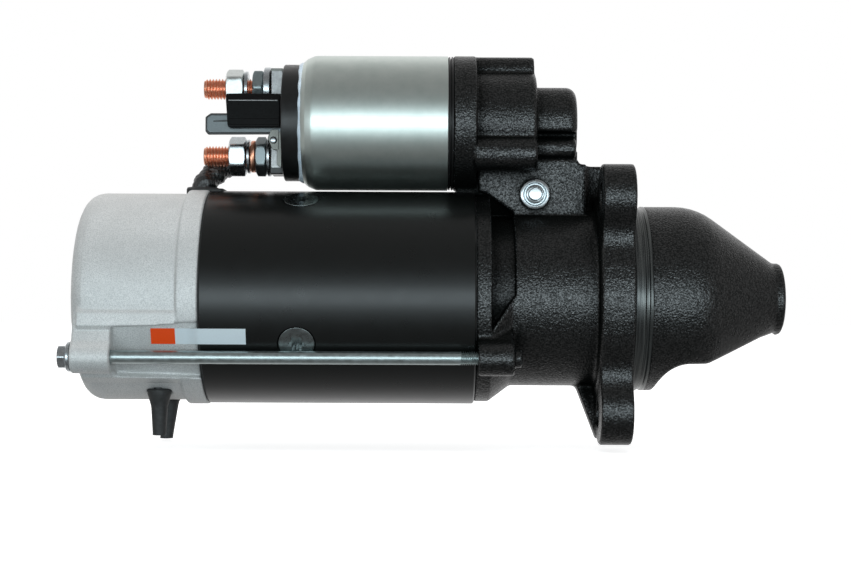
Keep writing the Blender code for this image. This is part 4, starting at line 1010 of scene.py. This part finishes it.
def hexagon_head(name, flats, start, end, centre, turn, material, bore=0.0, chamfers=(True, True)):
    """Hexagon with chamfered faces, along X; with a bore it is a nut."""
    angles = np.radians(np.arange(0.0, 360.0, 3.75) + turn)
    reach = hex_radius(angles, flats, math.radians(turn))
    face_r = 0.475 * flats
    rise = (reach.max() - face_r) / math.sqrt(3.0)
    depths = np.linspace(0.0, rise, 6)
    rows = []
    for depth in depths if chamfers[0] else [0.0]:
        limit = face_r + depth * math.sqrt(3.0) if chamfers[0] else 1e3
        rows.append((start + depth, np.minimum(reach, limit)))
    for depth in depths[::-1] if chamfers[1] else [0.0]:
        limit = face_r + depth * math.sqrt(3.0) if chamfers[1] else 1e3
        rows.append((end - depth, np.minimum(reach, limit)))
    if bore:
        wide = np.full(len(angles), bore + 0.7)
        tight = np.full(len(angles), bore)
        rows += [(end, wide), (end - 0.7, tight), (start + 0.7, tight), (start, wide)]
    rings = [ring_points(x, radii, angles, centre) for x, radii in rows]
    return skin(name, rings, material, closed=bool(bore))


def threaded_bar(name, radius, pitch, start, end, centre, material, plain=None):
    """Bar along X with a rolled thread; from plain onwards it is a smooth shank."""
    angles = np.linspace(0.0, 2.0 * np.pi, 72, endpoint=False)
    depth = 0.61 * pitch
    thread_end = end if plain is None else plain
    count = max(2, int(abs(thread_end - start) / pitch * 12))
    rows = []
    for x in np.linspace(start, thread_end, count):
        phase = ((x - start) / pitch - angles / (2.0 * np.pi)) % 1.0
        crest = np.interp(phase, [0.0, 0.12, 0.44, 0.56, 0.88, 1.0], [0.0, 0.0, 1.0, 1.0, 0.0, 0.0])
        inset = min(1.0, abs(x - start) / (1.1 * pitch))
        cap = radius - depth * 1.1 * (1.0 - inset)
        radii = np.minimum(radius - depth * (1.0 - crest), cap)
        rows.append((x, radii))
    if plain is not None:
        smooth = np.full(len(angles), radius - 0.12 * pitch)
        sign = 1.0 if end > start else -1.0
        rows.append((plain + sign * 0.4, smooth))
        rows.append((end, smooth))
    rings = [ring_points(x, radii, angles, centre) for x, radii in rows]
    return skin(name, rings, material)


def through_bolt(number, angle):
    """Long bolt: hexagon head with a pressed flange, plain shank and a threaded front end."""
    centre = on_ring(BOLT_PITCH_R, angle)
    bolt = threaded_bar(f"through_bolt_rod_{number}", BOLT_R, 1.0, -58.8, -258.2, centre, ROD_ZINC,
                        plain=-80.0)
    head = hexagon_head(f"through_bolt_head_{number}", 10.0, -263.6, -259.6, centre, 0.0, ZINC,
                        chamfers=(True, False))
    collar = lathe(f"through_bolt_flange_{number}", [
        (-260.3, 2.0), (-260.3, 5.4, 0.3), (-259.3, 6.85, 0.4), (-258.0, 6.85, 0.3), (-258.0, 2.0),
    ], ZINC, (0.0, *centre), sides=SMALL_SIDES)
    fit(bolt, [f"through_bolt_{number}"])
    for extra in (head, collar):
        fit(extra)


def pivot_hardware():
    """Lever pivot: flanged lock nut with a riveted pin end on the near side, hexagon head beyond."""
    at = (PIVOT_X, 0.0, PIVOT_Z)
    seat = -BOX_HALF - 0.15
    nut = lathe("pivot_lock_nut", [
        (seat, 3.5), (seat, 7.3, 0.5), (seat - 1.9, 7.3, 0.9), (seat - 2.4, 5.6, 0.3), (seat - 1.2, 5.1, 0.3),
        (seat - 1.2, 4.5, 0.2), (seat - 3.2, 4.3, 0.5), (seat - 3.4, 3.5),
    ], ZINC, at, "Y", 96)
    fit(nut, ["pivot_nut"])
    bolt = lathe("pivot_shoulder_bolt", [
        (seat - 4.5, 2.5), (seat - 4.4, 3.2, 0.5), (1.0 - BOX_HALF, 3.2), (1.0 - BOX_HALF, 5.0, 0.3),
        (BOX_HALF + 0.3, 5.0), (BOX_HALF + 0.3, 7.4, 0.4), (BOX_HALF + 2.0, 7.4, 0.5), (BOX_HALF + 2.2, 5.0),
    ], ZINC, at, "Y", 96, closed=False)
    fit(bolt, ["pivot_bolt"])
    head = hexagon_head("pivot_bolt_head", 12.4, BOX_HALF + 1.6, BOX_HALF + 6.4, (0.0, 0.0), 0.0, ZINC,
                        chamfers=(False, True))
    for vertex in head.data.vertices:
        along = vertex.co.x - FLANGE_X * MM
        y, z = vertex.co.y, vertex.co.z
        vertex.co = ((FLANGE_X + PIVOT_X) * MM + y, along, PIVOT_Z * MM + z)
    face_outwards(head)
    fit(head)


# ---------------------------------------------------------------- solenoid

def solenoid_body():
    """Case with its rolled rear edge, the sealant ring, the cap with its bosses, and the front gaskets."""
    axis = (0.0, 0.0, SOLENOID_Z)
    front = CASE_HIGH.x
    case = lathe("solenoid_shell", [
        (front, 11.2), (front, SOLENOID_R - 1.4), (front - 0.1, SOLENOID_R, 0.5), (-149.8, SOLENOID_R, 5.0),
        (-153.4, 30.8, 1.0), (-155.6, 28.9, 0.4), (-155.6, 27.4), (-153.5, 28.6), (-152.0, 29.4),
        (-151.5, 29.4), (-151.5, 3.4), (-128.0, 3.4), (-128.0, 10.8), (-146.0, 10.8), (-146.0, 29.0),
        (-89.5, 29.0), (-89.5, 11.2),
    ], CASE, axis, sides=256)
    fit(case, ["solenoid_case"])
    add_sealant_ring()
    cap = lathe("cap_disc", [
        (-164.8, 5.0), (-164.8, 28.1, 0.7), (-155.4, 28.1, 0.3), (-155.4, 26.4), (-162.0, 23.0),
        (-162.3, 5.0),
    ], PLASTIC, axis, sides=256)
    fit(cap, ["solenoid_cap"])
    for stud, z in STUD_Z.items():
        square = [(-9.0, z - 9.0), (9.0, z - 9.0), (9.0, z + 9.0), (-9.0, z + 9.0)]
        boss = extrude(f"{stud}_stud_boss", square, -171.3, -164.5, PLASTIC, "X", 0.7)
        fit(boss)
        inset = 2.2 if stud == "motor" else 0.9
        face = extrude(f"{stud}_boss_face", rounded([
            (-170.6, z - 8.2 + inset, 0.6), (-165.4, z - 8.2 + inset, 0.6), (-165.4, z + 8.0, 0.6),
            (-170.6, z + 8.0, 0.6)]), -9.25, -8.9, BOSS, "Y", 0.1)
        fit(face)
    ledge = extrude("boss_ledge", rounded([(-171.0, 108.4, 0.3), (-165.2, 108.4, 0.3), (-165.2, 109.7, 0.3),
                                           (-171.0, 109.7, 0.3)]), -9.3, 9.0, STRAP_ZINC, "Y", 0.1)
    fit(ledge)
    gaskets = lathe("solenoid_gasket", [
        (front + 0.1, 26.0), (front + 0.1, SOLENOID_R - 0.5, 0.3), (front + 0.9, SOLENOID_R - 0.1, 0.3),
        (front + 1.1, SOLENOID_R - 1.3, 0.1), (front + 1.4, SOLENOID_R - 1.3, 0.1),
        (front + 1.6, SOLENOID_R - 0.1, 0.3), (front + 2.5, SOLENOID_R - 0.4, 0.3), (front + 2.5, 26.0),
    ], PLASTIC, axis, sides=256)
    fit(gaskets)


def add_sealant_ring():
    """Squeezed-out sealant between case and cap, with an uneven edge."""
    rng = np.random.default_rng(7)
    angles = np.linspace(0.0, 2.0 * np.pi, 256, endpoint=False)
    wander = np.zeros(256)
    for wave in range(3, 28):
        wander += rng.normal(0.0, 1.0) * np.cos(wave * angles + rng.uniform(0.0, 6.3)) / wave
    wander = 0.32 * wander / np.abs(wander).max()
    rows = []
    for x, radius, loose in ((-155.6, 27.6, 0.0), (-156.0, 29.2, 0.2), (-157.2, 29.1, 0.6),
                             (-158.3, 28.6, 1.0), (-158.7, 28.0, 1.0), (-158.2, 27.4, 0.5)):
        radii = radius + 0.25 * wander * loose
        stations = x + 1.1 - 0.9 * np.cos(angles) - wander * loose
        rows.append(np.stack([stations, radii * np.cos(angles), SOLENOID_Z + radii * np.sin(angles)], axis=1))
    fit(skin("sealant_ring", rows, SEALANT, closed=True))


def stud_stack():
    """Copper studs with their nuts and washers."""
    for stud, z in STUD_Z.items():
        bar = threaded_bar(f"{stud}_threaded_stud", STUD_R + 0.1, 1.5, STUD_END, -160.0, (0.0, z), COPPER,
                           plain=-171.0)
        fit(bar, [f"{stud}_stud"])
    upper, lower = STUD_Z["battery"], STUD_Z["motor"]
    washer("battery_flat_washer", 10.6, -174.6, -171.6, upper)
    nut("battery_inner_nut", -180.1, -174.9, upper, 0.0, TEAL_ZINC)
    spring_washer("battery_spring_washer", 8.6, -184.2, -182.2, upper)
    nut("battery_outer_nut", -192.9, -184.5, upper, 30.0, PALE_ZINC)
    washer("motor_flat_washer", 9.6, -173.0, -171.6, lower)
    nut("motor_inner_nut", -178.6, -173.3, lower, 30.0, DULL_ZINC)
    spring_washer("motor_spring_washer", 8.2, -183.0, -181.3, lower)
    nut("motor_outer_nut", -191.4, -183.3, lower, 30.0, ZINC)


def nut(node, start, end, z, turn, material):
    piece = hexagon_head(f"{node}_hex", 17.0, start, end, (0.0, z), turn, material, STUD_R + 0.25)
    fit(piece, [node])


def washer(node, radius, start, end, z):
    ring = lathe(f"{node}_ring", [
        (start, STUD_R + 0.3), (start, radius, 0.35), (end, radius, 0.35), (end, STUD_R + 0.3),
    ], ZINC, (0.0, 0.0, z), sides=SMALL_SIDES)
    fit(ring, [node])


def spring_washer(node, radius, start, end, z):
    """Split ring with a slight helix."""
    thick = 0.75 * (end - start)
    rows = []
    for degrees in np.linspace(8.0, 352.0, 72):
        turn = math.radians(degrees)
        climb = (end - start - thick) * degrees / 360.0
        section = rounded([
            (0.0, STUD_R + 0.3, 0.2), (0.0, radius, 0.3), (thick, radius, 0.3), (thick, STUD_R + 0.3, 0.2),
        ], 3)
        rows.append([(start + climb + u, v * math.cos(turn), z + v * math.sin(turn)) for u, v in section])
    fit(skin(f"{node}_coil", rows, ZINC), [node])


def solenoid_screws():
    for number, angle in enumerate(SCREW_ANGLES, 1):
        y, z = screw_centre(angle)
        screw = lathe(f"solenoid_screw_body_{number}", [
            (-88.7, 2.0), (-88.3, 2.9), (-50.7, 2.9), (-50.7, 4.7, 0.3), (-45.4, 4.7, 0.6), (-45.4, 3.6),
        ], ZINC, (0.0, y, z), sides=SMALL_SIDES, closed=False)
        socket = hexagon_head("socket", 5.0, -48.6, -44.0, (y, z), 0.0, ZINC, chamfers=(False, False))
        boolean(screw, [socket])
        fit(screw, [f"solenoid_screw_{number}"])


def control_lead():
    """Spade terminal with its strap and rivet, and the moulded hood over its root."""
    blade = extrude("spade_blade", rounded([
        (-164.6, 78.4), (-199.6, 78.1, 1.0), (-200.6, 79.4, 0.8), (-200.6, 85.0, 0.8), (-198.6, 86.4, 1.0),
        (-164.6, 86.6)]), -15.9, -15.0, BLADE_ZINC, "Y", 0.2)
    fit(blade, ["control_terminal"])
    sleeve = extrude("spade_backing", rounded([
        (-166.0, 77.5), (-200.2, 77.2, 1.2), (-201.5, 78.8, 1.0), (-201.5, 85.6, 1.0), (-199.0, 87.4, 1.2),
        (-166.0, 87.5)]), -15.0, -13.7, PLASTIC, "Y", 0.25)
    fit(sleeve)
    # A black strip across the blade: painted shade standing in for the shadow line of a fold.
    crease = extrude("spade_fold_painted_shade", rounded([
        (-186.0, 83.4), (-197.6, 83.2, 0.2), (-197.6, 83.8, 0.2), (-186.0, 84.5)]), -16.1, -15.7, PLASTIC,
        "Y", 0.05)
    fit(crease)
    strap = extrude("terminal_strap", rounded([
        (-165.2, 61.6, 0.3), (-165.2, 91.4, 0.3), (-166.4, 91.4, 0.5), (-167.4, 88.0), (-167.4, 63.0, 0.5)]),
        -15.8, -11.8, STRAP_ZINC, "Y", 0.2)
    fit(strap)
    rivet = lathe("terminal_rivet", [(-15.4, 0.8), (-15.4, 1.9, 0.3), (-16.4, 1.6, 0.8), (-16.7, 0.6, 0.2)],
                  ZINC, (-169.0, 0.0, 74.6), "Y", SMALL_SIDES, closed=False)
    fit(rivet)
    tongue = extrude("terminal_tongue", rounded([
        (-166.4, 69.6, 0.8), (-169.6, 70.2, 1.2), (-171.8, 75.6, 1.5), (-170.4, 79.8, 1.0), (-166.4, 79.8)]),
        -16.0, -15.0, STRAP_ZINC, "Y", 0.4)
    fit(tongue)
    hood_field = Field((-194.5, -23.0, 77.5), (-164.0, -9.0, 99.0), 0.25)
    side = rounded([(-165.4, 80.2), (-190.2, 79.9, 1.6), (-191.4, 96.5, 1.0), (-165.4, 96.5)])
    section = rounded([(-21.0, 78.0), (-21.0, 93.0, 0.6), (-17.8, 96.7, 0.8), (-11.2, 96.7), (-11.2, 78.0)])
    hood_field.add(prism(side, -21.0, -11.2, "Y", 0.5), 0.0)
    hood_field.keep(prism(section, -200.0, -160.0, "X", 0.1))
    hood_field.cut(prism([(-196.0, 76.0), (-160.0, 76.0), (-160.0, 88.0), (-196.0, 88.0)], -16.6, -13.2, "Y",
                         0.1), 0.0)
    hood = hood_field.to_object("terminal_shroud", HOOD)
    fit(hood, ["terminal_hood"])
    # A pale strip along the top of the hood's front face: painted highlight where the edge would catch the
    # light.
    edge = extrude("shroud_edge_painted_highlight", [(-189.8, 92.7), (-166.6, 92.7), (-166.6, 93.1), (-189.8, 93.1)],
                   -21.12, -20.8, HOOD_EDGE_PAINTED_HIGHLIGHT, "Y", 0.06)
    fit(edge)


# ---------------------------------------------------------------- rubber and cable

def bezier(a, b, c, d, steps):
    t = np.linspace(0.0, 1.0, steps)[:, None]
    s = 1.0 - t
    a, b, c, d = (np.array(corner) for corner in (a, b, c, d))
    return s ** 3 * a + 3 * s * s * t * b + 3 * s * t * t * c + t ** 3 * d


def swept(name, path, radii, material, sides=48):
    """A tube along a path, with a radius for each ring or each point of each ring."""
    path = np.asarray(path, float)
    steps = np.gradient(path, axis=0)
    rows = []
    side = Vector((0.0, 1.0, 0.0))
    for spot, step, radius in zip(path, steps, radii):
        ahead = Vector(step).normalized()
        side = (side - ahead * side.dot(ahead)).normalized()
        up = ahead.cross(side)
        angles = np.linspace(0.0, 2.0 * np.pi, sides, endpoint=False)
        ring = np.outer(np.cos(angles), side) + np.outer(np.sin(angles), up)
        rows.append(np.asarray(spot) + ring * np.asarray(radius).reshape(-1, 1))
    return skin(name, rows, material)


def cable():
    """Sleeved motor lead: wrinkled where it bends, with its lug between the motor stud's washers."""
    entry = (GROMMET_X, GROMMET_Y)
    z = STUD_Z["motor"]
    lead = np.linspace((-176.8, 18.0, z), (-179.5, 18.0, z), 6)[:-1]
    bend = bezier((-179.5, 18.0, z), (-189.0, 19.5, z + 1.0), (entry[0] + 4.0, 6.0, 62.0), (*entry, 53.2), 90)
    drop = np.linspace((*entry, 53.0), (*entry, 41.5), 16)
    path = np.concatenate([lead, bend, drop])
    count, sides = len(path), 64
    s = np.cumsum(np.r_[0.0, np.linalg.norm(np.diff(path, axis=0), axis=1)])[:, None]
    turn = np.linspace(0.0, 2.0 * np.pi, sides, endpoint=False)[None, :]
    braid = 0.10 * np.sin(s * 2.6 + 10.0 * turn) + 0.10 * np.sin(s * 2.6 - 10.0 * turn)
    folds = 0.42 * np.clip(np.sin(s * 0.95 + 1.1 * np.sin(turn + 0.4)), -0.3, 1.0)
    waves = 0.18 * np.sin(s * 0.37 + turn * 2.0)
    bent = np.clip((s - 8.0) / 10.0, 0.0, 1.0) * np.clip((48.0 - s) / 8.0, 0.0, 1.0)
    radii = 5.45 + braid + folds * bent + waves
    fit(swept("cable_sleeve", path, radii, SLEEVE, sides), ["motor_cable"])
    outline = arc((0.0, z), 7.7, 35.0, 325.0, 32) + [(15.5, z - 4.0), (15.5, z + 4.0)]
    plate = extrude("cable_lug", outline, -180.9, -179.0, COPPER, "X", 0.25)
    hole = lathe("hole", [(-185.0, STUD_R + 0.25), (-175.0, STUD_R + 0.25)], COPPER, (0.0, 0.0, z),
                 sides=SMALL_SIDES, closed=False)
    boolean(plate, [hole])
    fit(plate)
    ferrule = lathe("cable_ferrule", [(-181.4, 5.0), (-181.2, 5.9, 0.4), (-176.4, 5.9, 0.6), (-176.2, 4.0)],
                    COPPER, (0.0, 18.0, z), sides=SMALL_SIDES, closed=False)
    fit(ferrule)


def grommet():
    """Rubber seal round the cable, with a lip over the cover and the yoke."""
    low, high = GROMMET_LOW, GROMMET_HIGH
    field = Field((low.x - 2.5, low.y - 2.5, low.z - 2.0), (high.x + 2.5, high.y + 2.5, high.z + 2.5), 0.4)
    outline = rounded([
        (low.x, low.y, 2.0), (high.x, low.y, 2.0), (high.x, high.y, 2.0), (low.x, high.y, 2.0),
    ])
    field.add(prism(outline, low.z, high.z - 0.1, "Z", 0.6), 0.0)
    middle = (GROMMET_X, GROMMET_Y)
    field.add(rod(7.6, low.z + 1.0, high.z + 0.7, middle, "Z", 0.6), 1.2)
    field.cut(rod(6.15, low.z - 5.0, high.z + 5.0, middle, "Z", 0.1), 0.5)
    fit(field.to_object("grommet_seal", RUBBER), ["cable_grommet"])


def drain(number, y, top, bottom, lean):
    """Flared drain tube with an open end."""
    tube = lathe(f"drain_spout_{number}", [
        (-40.0, 1.8), (-40.0, 3.3, 0.3), (top - 0.1, 3.3), (top - 0.1, 5.8, 0.7), (top - 2.6, 5.5, 2.0),
        (top - 8.5, 3.9, 8.0), (bottom + 0.9, 3.15, 0.4), (bottom, 3.25, 0.5), (bottom, 1.9, 0.3),
        (bottom + 3.0, 1.8),
    ], RUBBER, (DRAIN_X, y, 0.0), "Z", SMALL_SIDES)
    for vertex in tube.data.vertices:
        vertex.co.x += lean * max(0.0, top * MM - vertex.co.z)
    fit(tube, [f"drain_tube_{number}"])


# ---------------------------------------------------------------- drive parts behind the window

def nose_bush():
    bush = lathe("nose_bush_liner", [
        (58.4, 8.35), (58.4, 12.0, 0.3), (74.2, 12.0, 0.5), (74.2, 8.35, 0.6)], BRONZE)
    fit(bush, ["nose_bush"])


def return_spring():
    """Coil spring of five turns, closed at both ends."""
    low, high = node_box("return_spring")
    start, end, turns = low.x + 1.3, high.x - 1.3, 5.0
    t = np.linspace(0.0, 1.0, 300)
    lead = np.interp(t, [0.0, 0.1, 0.9, 1.0], [0.0, 0.015, 0.985, 1.0])
    angle = 2.0 * np.pi * turns * t
    coil_r, wire_r = 14.4, 1.2
    along = start + (end - start) * lead
    path = np.stack([along, coil_r * np.cos(angle), SOLENOID_Z + coil_r * np.sin(angle)], axis=1)
    spring = swept("return_coil", path, np.full(len(path), wire_r), ZINC, 16)
    fit(spring, ["return_spring"])
    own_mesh(spring)


def finish_cad_nodes():
    """Materials for the CAD pieces that stay."""
    finishes = {
        "bronze": BRONZE, "plain_steel": STEEL, "gear_steel": GEAR, "zinc_steel": ZINC, "copper": COPPER,
        "carbon": CARBON, "black_cast_iron": CAST, "black_paint": PAINT, "cast_aluminium": ALUMINIUM,
        "black_plastic": PLASTIC, "black_rubber": RUBBER,
    }
    special = {"field_coils": WINDING, "solenoid_coil": WINDING}
    slots = {s["node"]: s["material_slot"] for s in frame["record"]["subparts"]}
    for name, node in frame["nodes"].items():
        material = special.get(name, finishes[slots[name]])
        node.data.materials.clear()
        node.data.materials.append(material)


# ---------------------------------------------------------------- drive

def gear_outline(teeth, module, tip_r, root_r, half_play):
    """Involute gear outline as (y, z) points, with a tooth pointing up."""
    pitch_r = module * teeth / 2.0
    base_r = pitch_r * math.cos(math.radians(20.0))

    def unwound(radius):
        ratio = max(radius, base_r) / base_r
        return math.sqrt(ratio ** 2 - 1.0) - math.acos(1.0 / ratio)

    half_pitch = math.pi / (2.0 * teeth) - half_play / pitch_r
    flank = [(r, half_pitch + unwound(pitch_r) - unwound(r)) for r in np.linspace(root_r, tip_r, 9)]
    points = []
    for tooth in range(teeth):
        middle = math.pi / 2.0 + 2.0 * math.pi * tooth / teeth
        sides = [(r, middle - half) for r, half in flank]
        sides += [(r, middle + half) for r, half in reversed(flank)]
        points += [(r * math.cos(a), r * math.sin(a)) for r, a in sides]
    return points


def pinion():
    """Drive pinion with chamfered teeth and its hub, seen through the nose's window."""
    start, length, bore_r, chamfer = 0.0, 25.0, 8.4, 1.0
    teeth = np.array(gear_outline(11, 3.0, 19.2, 12.8, 0.15))
    unit = teeth / np.linalg.norm(teeth, axis=1, keepdims=True)
    rings = []
    for x, outline in ((start, teeth - unit * chamfer), (start + chamfer, teeth),
                       (start + length - chamfer, teeth), (start + length, teeth - unit * chamfer),
                       (start + length, unit * bore_r), (start, unit * bore_r)):
        rings.append([(x, y, z) for y, z in outline])
    fit(skin("pinion_teeth", rings, GEAR, closed=True), ["pinion"], "pinion")
    hub = lathe("pinion_hub", [
        (-20.5, bore_r), (-20.5, 12.6, 0.5), (start + 0.3, 12.6), (start + 0.3, bore_r),
    ], GEAR, sides=SMALL_SIDES)
    fit(hub, (), "pinion")


def clutch_and_shaft():
    """Overrunning clutch with the lever's groove, and the planet carrier's shaft to the nose."""
    body = lathe("clutch_body", [
        (-60.0, 10.0), (-60.0, 20.0, 0.8), (SHOE_X - 4.0, 20.0, 0.6), (SHOE_X - 4.0, 14.0, 0.5),
        (SHOE_X + 4.0, 14.0, 0.5), (SHOE_X + 4.0, 20.0, 0.6), (-46.5, 20.0, 0.8), (-46.5, 14.0, 0.5),
        (-42.5, 14.0, 0.5), (-42.5, 27.0, 1.8), (-3.0, 27.0, 1.8), (-3.0, 13.4), (-22.0, 13.4), (-22.0, 10.0),
    ], STEEL)
    fit(body, ["clutch_shell"], "clutch")
    shaft = lathe("drive_shaft", [
        (-69.9, 4.6), (-83.8, 4.6), (-83.8, 30.5, 0.6), (-78.0, 30.5, 0.6), (-78.0, 11.1), (-69.6, 11.1, 0.4),
        (-69.6, 9.6), (-22.0, 9.6, 0.4), (-22.0, 8.0), (43.0, 8.0), (43.0, 12.5, 0.7), (48.0, 12.5, 0.7),
        (48.0, 8.0), (73.0, 8.0), (74.0, 7.0),
    ], GEAR, closed=False)
    fit(shaft, ["output_shaft"], "carrier")
    for number in range(1, 4):
        low, high = node_box(f"planet_gear_{number}")
        centre = (0.0, (low.y + high.y) / 2.0, (low.z + high.z) / 2.0)
        pin = lathe(f"planet_pin_{number}", [(-105.5, 4.3, 0.5), (-82.0, 4.3)], GEAR, centre,
                    sides=SMALL_SIDES, closed=False)
        fit(pin, (), "carrier")


# ---------------------------------------------------------------- studio

CAMERA_X = -96.4
CAMERA_Z = 2.5
CAMERA_DISTANCE = 800.0
VIEW_WIDTH = 412.7
CAMERA_ROLL = -0.25
SURROUND = ((-0.5, 0.15), (0.0, 0.25), (0.4, 0.45), (0.63, 0.8), (0.85, 0.95))   # brightness by y
OVERHEAD = ((0.0, 0.0), (0.9, 0.11))                                             # added by z
GROUND = ((-0.4, 0.3), (0.1, 1.0))                                               # diffuse share by z
SIDES = ((0.5, 0.0), (0.9, 0.4))   # least brightness by the distance from the centre plane
LAMP_TINT = (0.85, 1.0, 1.06)


def camera():
    data = bpy.data.cameras.new("camera")
    data.sensor_width = 36.0
    data.lens = data.sensor_width * CAMERA_DISTANCE / VIEW_WIDTH
    holder = bpy.data.objects.new("camera", data)
    bpy.context.scene.collection.objects.link(holder)
    holder.location = Vector((FLANGE_X + CAMERA_X, -CAMERA_DISTANCE, CAMERA_Z)) * MM
    holder.rotation_euler = (math.radians(90.0), math.radians(CAMERA_ROLL), 0.0)
    bpy.context.scene.camera = holder


def softbox(name, spot, aim, width, height, watts, tint):
    data = bpy.data.lights.new(name, "AREA")
    data.shape = "RECTANGLE"
    data.size = width * MM
    data.size_y = height * MM
    data.energy = watts
    data.color = tint
    lamp = bpy.data.objects.new(name, data)
    bpy.context.scene.collection.objects.link(lamp)
    shift = Vector((FLANGE_X, 0.0, 0.0))
    lamp.location = (Vector(spot) + shift) * MM
    lamp.rotation_euler = (Vector(aim) - Vector(spot)).to_track_quat("-Z", "Y").to_euler()
    return lamp


def backdrop():
    """White surround, brighter behind the object than in front of it."""
    world = bpy.data.worlds.new("surround")
    bpy.context.scene.world = world
    world.use_nodes = True
    tree = world.node_tree
    nodes, links = tree.nodes, tree.links
    sky = nodes["Background"]
    place = nodes.new("ShaderNodeTexCoord")
    split = nodes.new("ShaderNodeSeparateXYZ")
    links.new(place.outputs["Generated"], split.inputs["Vector"])

    def maths(operation, first, second=0.0):
        node = nodes.new("ShaderNodeMath")
        node.operation = operation
        for socket, value in zip(node.inputs, (first, second)):
            if isinstance(value, bpy.types.NodeSocket):
                links.new(value, socket)
            else:
                socket.default_value = value
        return node.outputs["Value"]

    sides = ramp_node(tree, maths("ABSOLUTE", split.outputs["X"]), SIDES)
    level = maths("MAXIMUM", ramp_node(tree, split.outputs["Y"], SURROUND), sides)
    level = maths("ADD", level, ramp_node(tree, split.outputs["Z"], OVERHEAD))
    ray = nodes.new("ShaderNodeLightPath")
    ground = maths("MAXIMUM", ramp_node(tree, split.outputs["Z"], GROUND),
                   maths("SUBTRACT", 1.0, ray.outputs["Is Diffuse Ray"]))
    level = maths("MULTIPLY", level, ground)
    level = maths("MAXIMUM", level, ray.outputs["Is Camera Ray"])
    links.new(level, sky.inputs["Strength"])
    sky.inputs["Color"].default_value = (1.0, 1.0, 1.0, 1.0)


def ramp_node(tree, value, stops):
    """Maps a value from -1..1 through (value, grey) stops."""
    scale = tree.nodes.new("ShaderNodeMapRange")
    scale.inputs["From Min"].default_value = -1.0
    tree.links.new(value, scale.inputs["Value"])
    ramp = tree.nodes.new("ShaderNodeValToRGB")
    while len(ramp.color_ramp.elements) < len(stops):
        ramp.color_ramp.elements.new(0.5)
    for element, (position, grey) in zip(ramp.color_ramp.elements, stops):
        element.position = (position + 1.0) / 2.0
        element.color = (grey, grey, grey, 1.0)
    tree.links.new(scale.outputs["Result"], ramp.inputs["Fac"])
    return ramp.outputs["Color"]


def floor():
    """Pale floor under the lowest lobe, kept out of the reflections."""
    size = 3.0
    mesh = bpy.data.meshes.new("floor")
    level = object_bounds()[0].z - 0.001
    middle = (FLANGE_X + CAMERA_X) * MM
    corners = [(middle - size, -size, level), (middle + size, -size, level), (middle + size, size, level),
               (middle - size, size, level)]
    mesh.from_pydata(corners, [], [(0, 1, 2, 3)])
    plane = bpy.data.objects.new("floor", mesh)
    bpy.context.scene.collection.objects.link(plane)
    m = Nodes("floor_white", (0.9, 0.9, 0.9), 0.9)
    m.set("Emission Color", (1.0, 1.0, 1.0, 1.0))
    m.set("Emission Strength", 0.75)
    m.colour(m.ramp(m.noise(400.0), (0.0, 0.88), (1.0, 0.92)))
    mesh.materials.append(m.material)
    plane.visible_glossy = False
    plane.visible_diffuse = False
    plane.visible_shadow = False
    plane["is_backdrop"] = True


def studio():
    bpy.context.scene.view_settings.view_transform = "Standard"
    camera()
    softbox("front_softbox", (CAMERA_X, -1500.0, 0.0), (CAMERA_X, 0.0, 0.0), 3000.0, 430.0, 13.0, LAMP_TINT)
    softbox("front_glow", (CAMERA_X, -1520.0, 0.0), (CAMERA_X, 0.0, 0.0), 3000.0, 1300.0, 6.0, LAMP_TINT)
    top = softbox("top_softbox", (CAMERA_X, -300.0, 1500.0), (CAMERA_X, 0.0, 0.0), 2000.0, 1500.0, 15.0,
                  (1.0, 1.0, 1.0))
    top.visible_glossy = False
    backdrop()
    floor()


# ---------------------------------------------------------------- the object

def build():
    finish_cad_nodes()
    housing_casting()
    pilot_ring()
    end_cover_casting()
    yoke()
    joint_rings()
    for number, angle in enumerate(POLE_ANGLES, 1):
        pole_screw(number, angle)
    for number, angle in enumerate(BOLT_ANGLES, 1):
        through_bolt(number, angle)
    pivot_hardware()
    solenoid_body()
    stud_stack()
    solenoid_screws()
    control_lead()
    cable()
    grommet()
    for number, drain_place in enumerate(DRAINS, 1):
        drain(number, *drain_place)
    label()
    nose_bush()
    return_spring()
    pinion()
    clutch_and_shaft()


build()
studio()
bpy.context.view_layer.update()
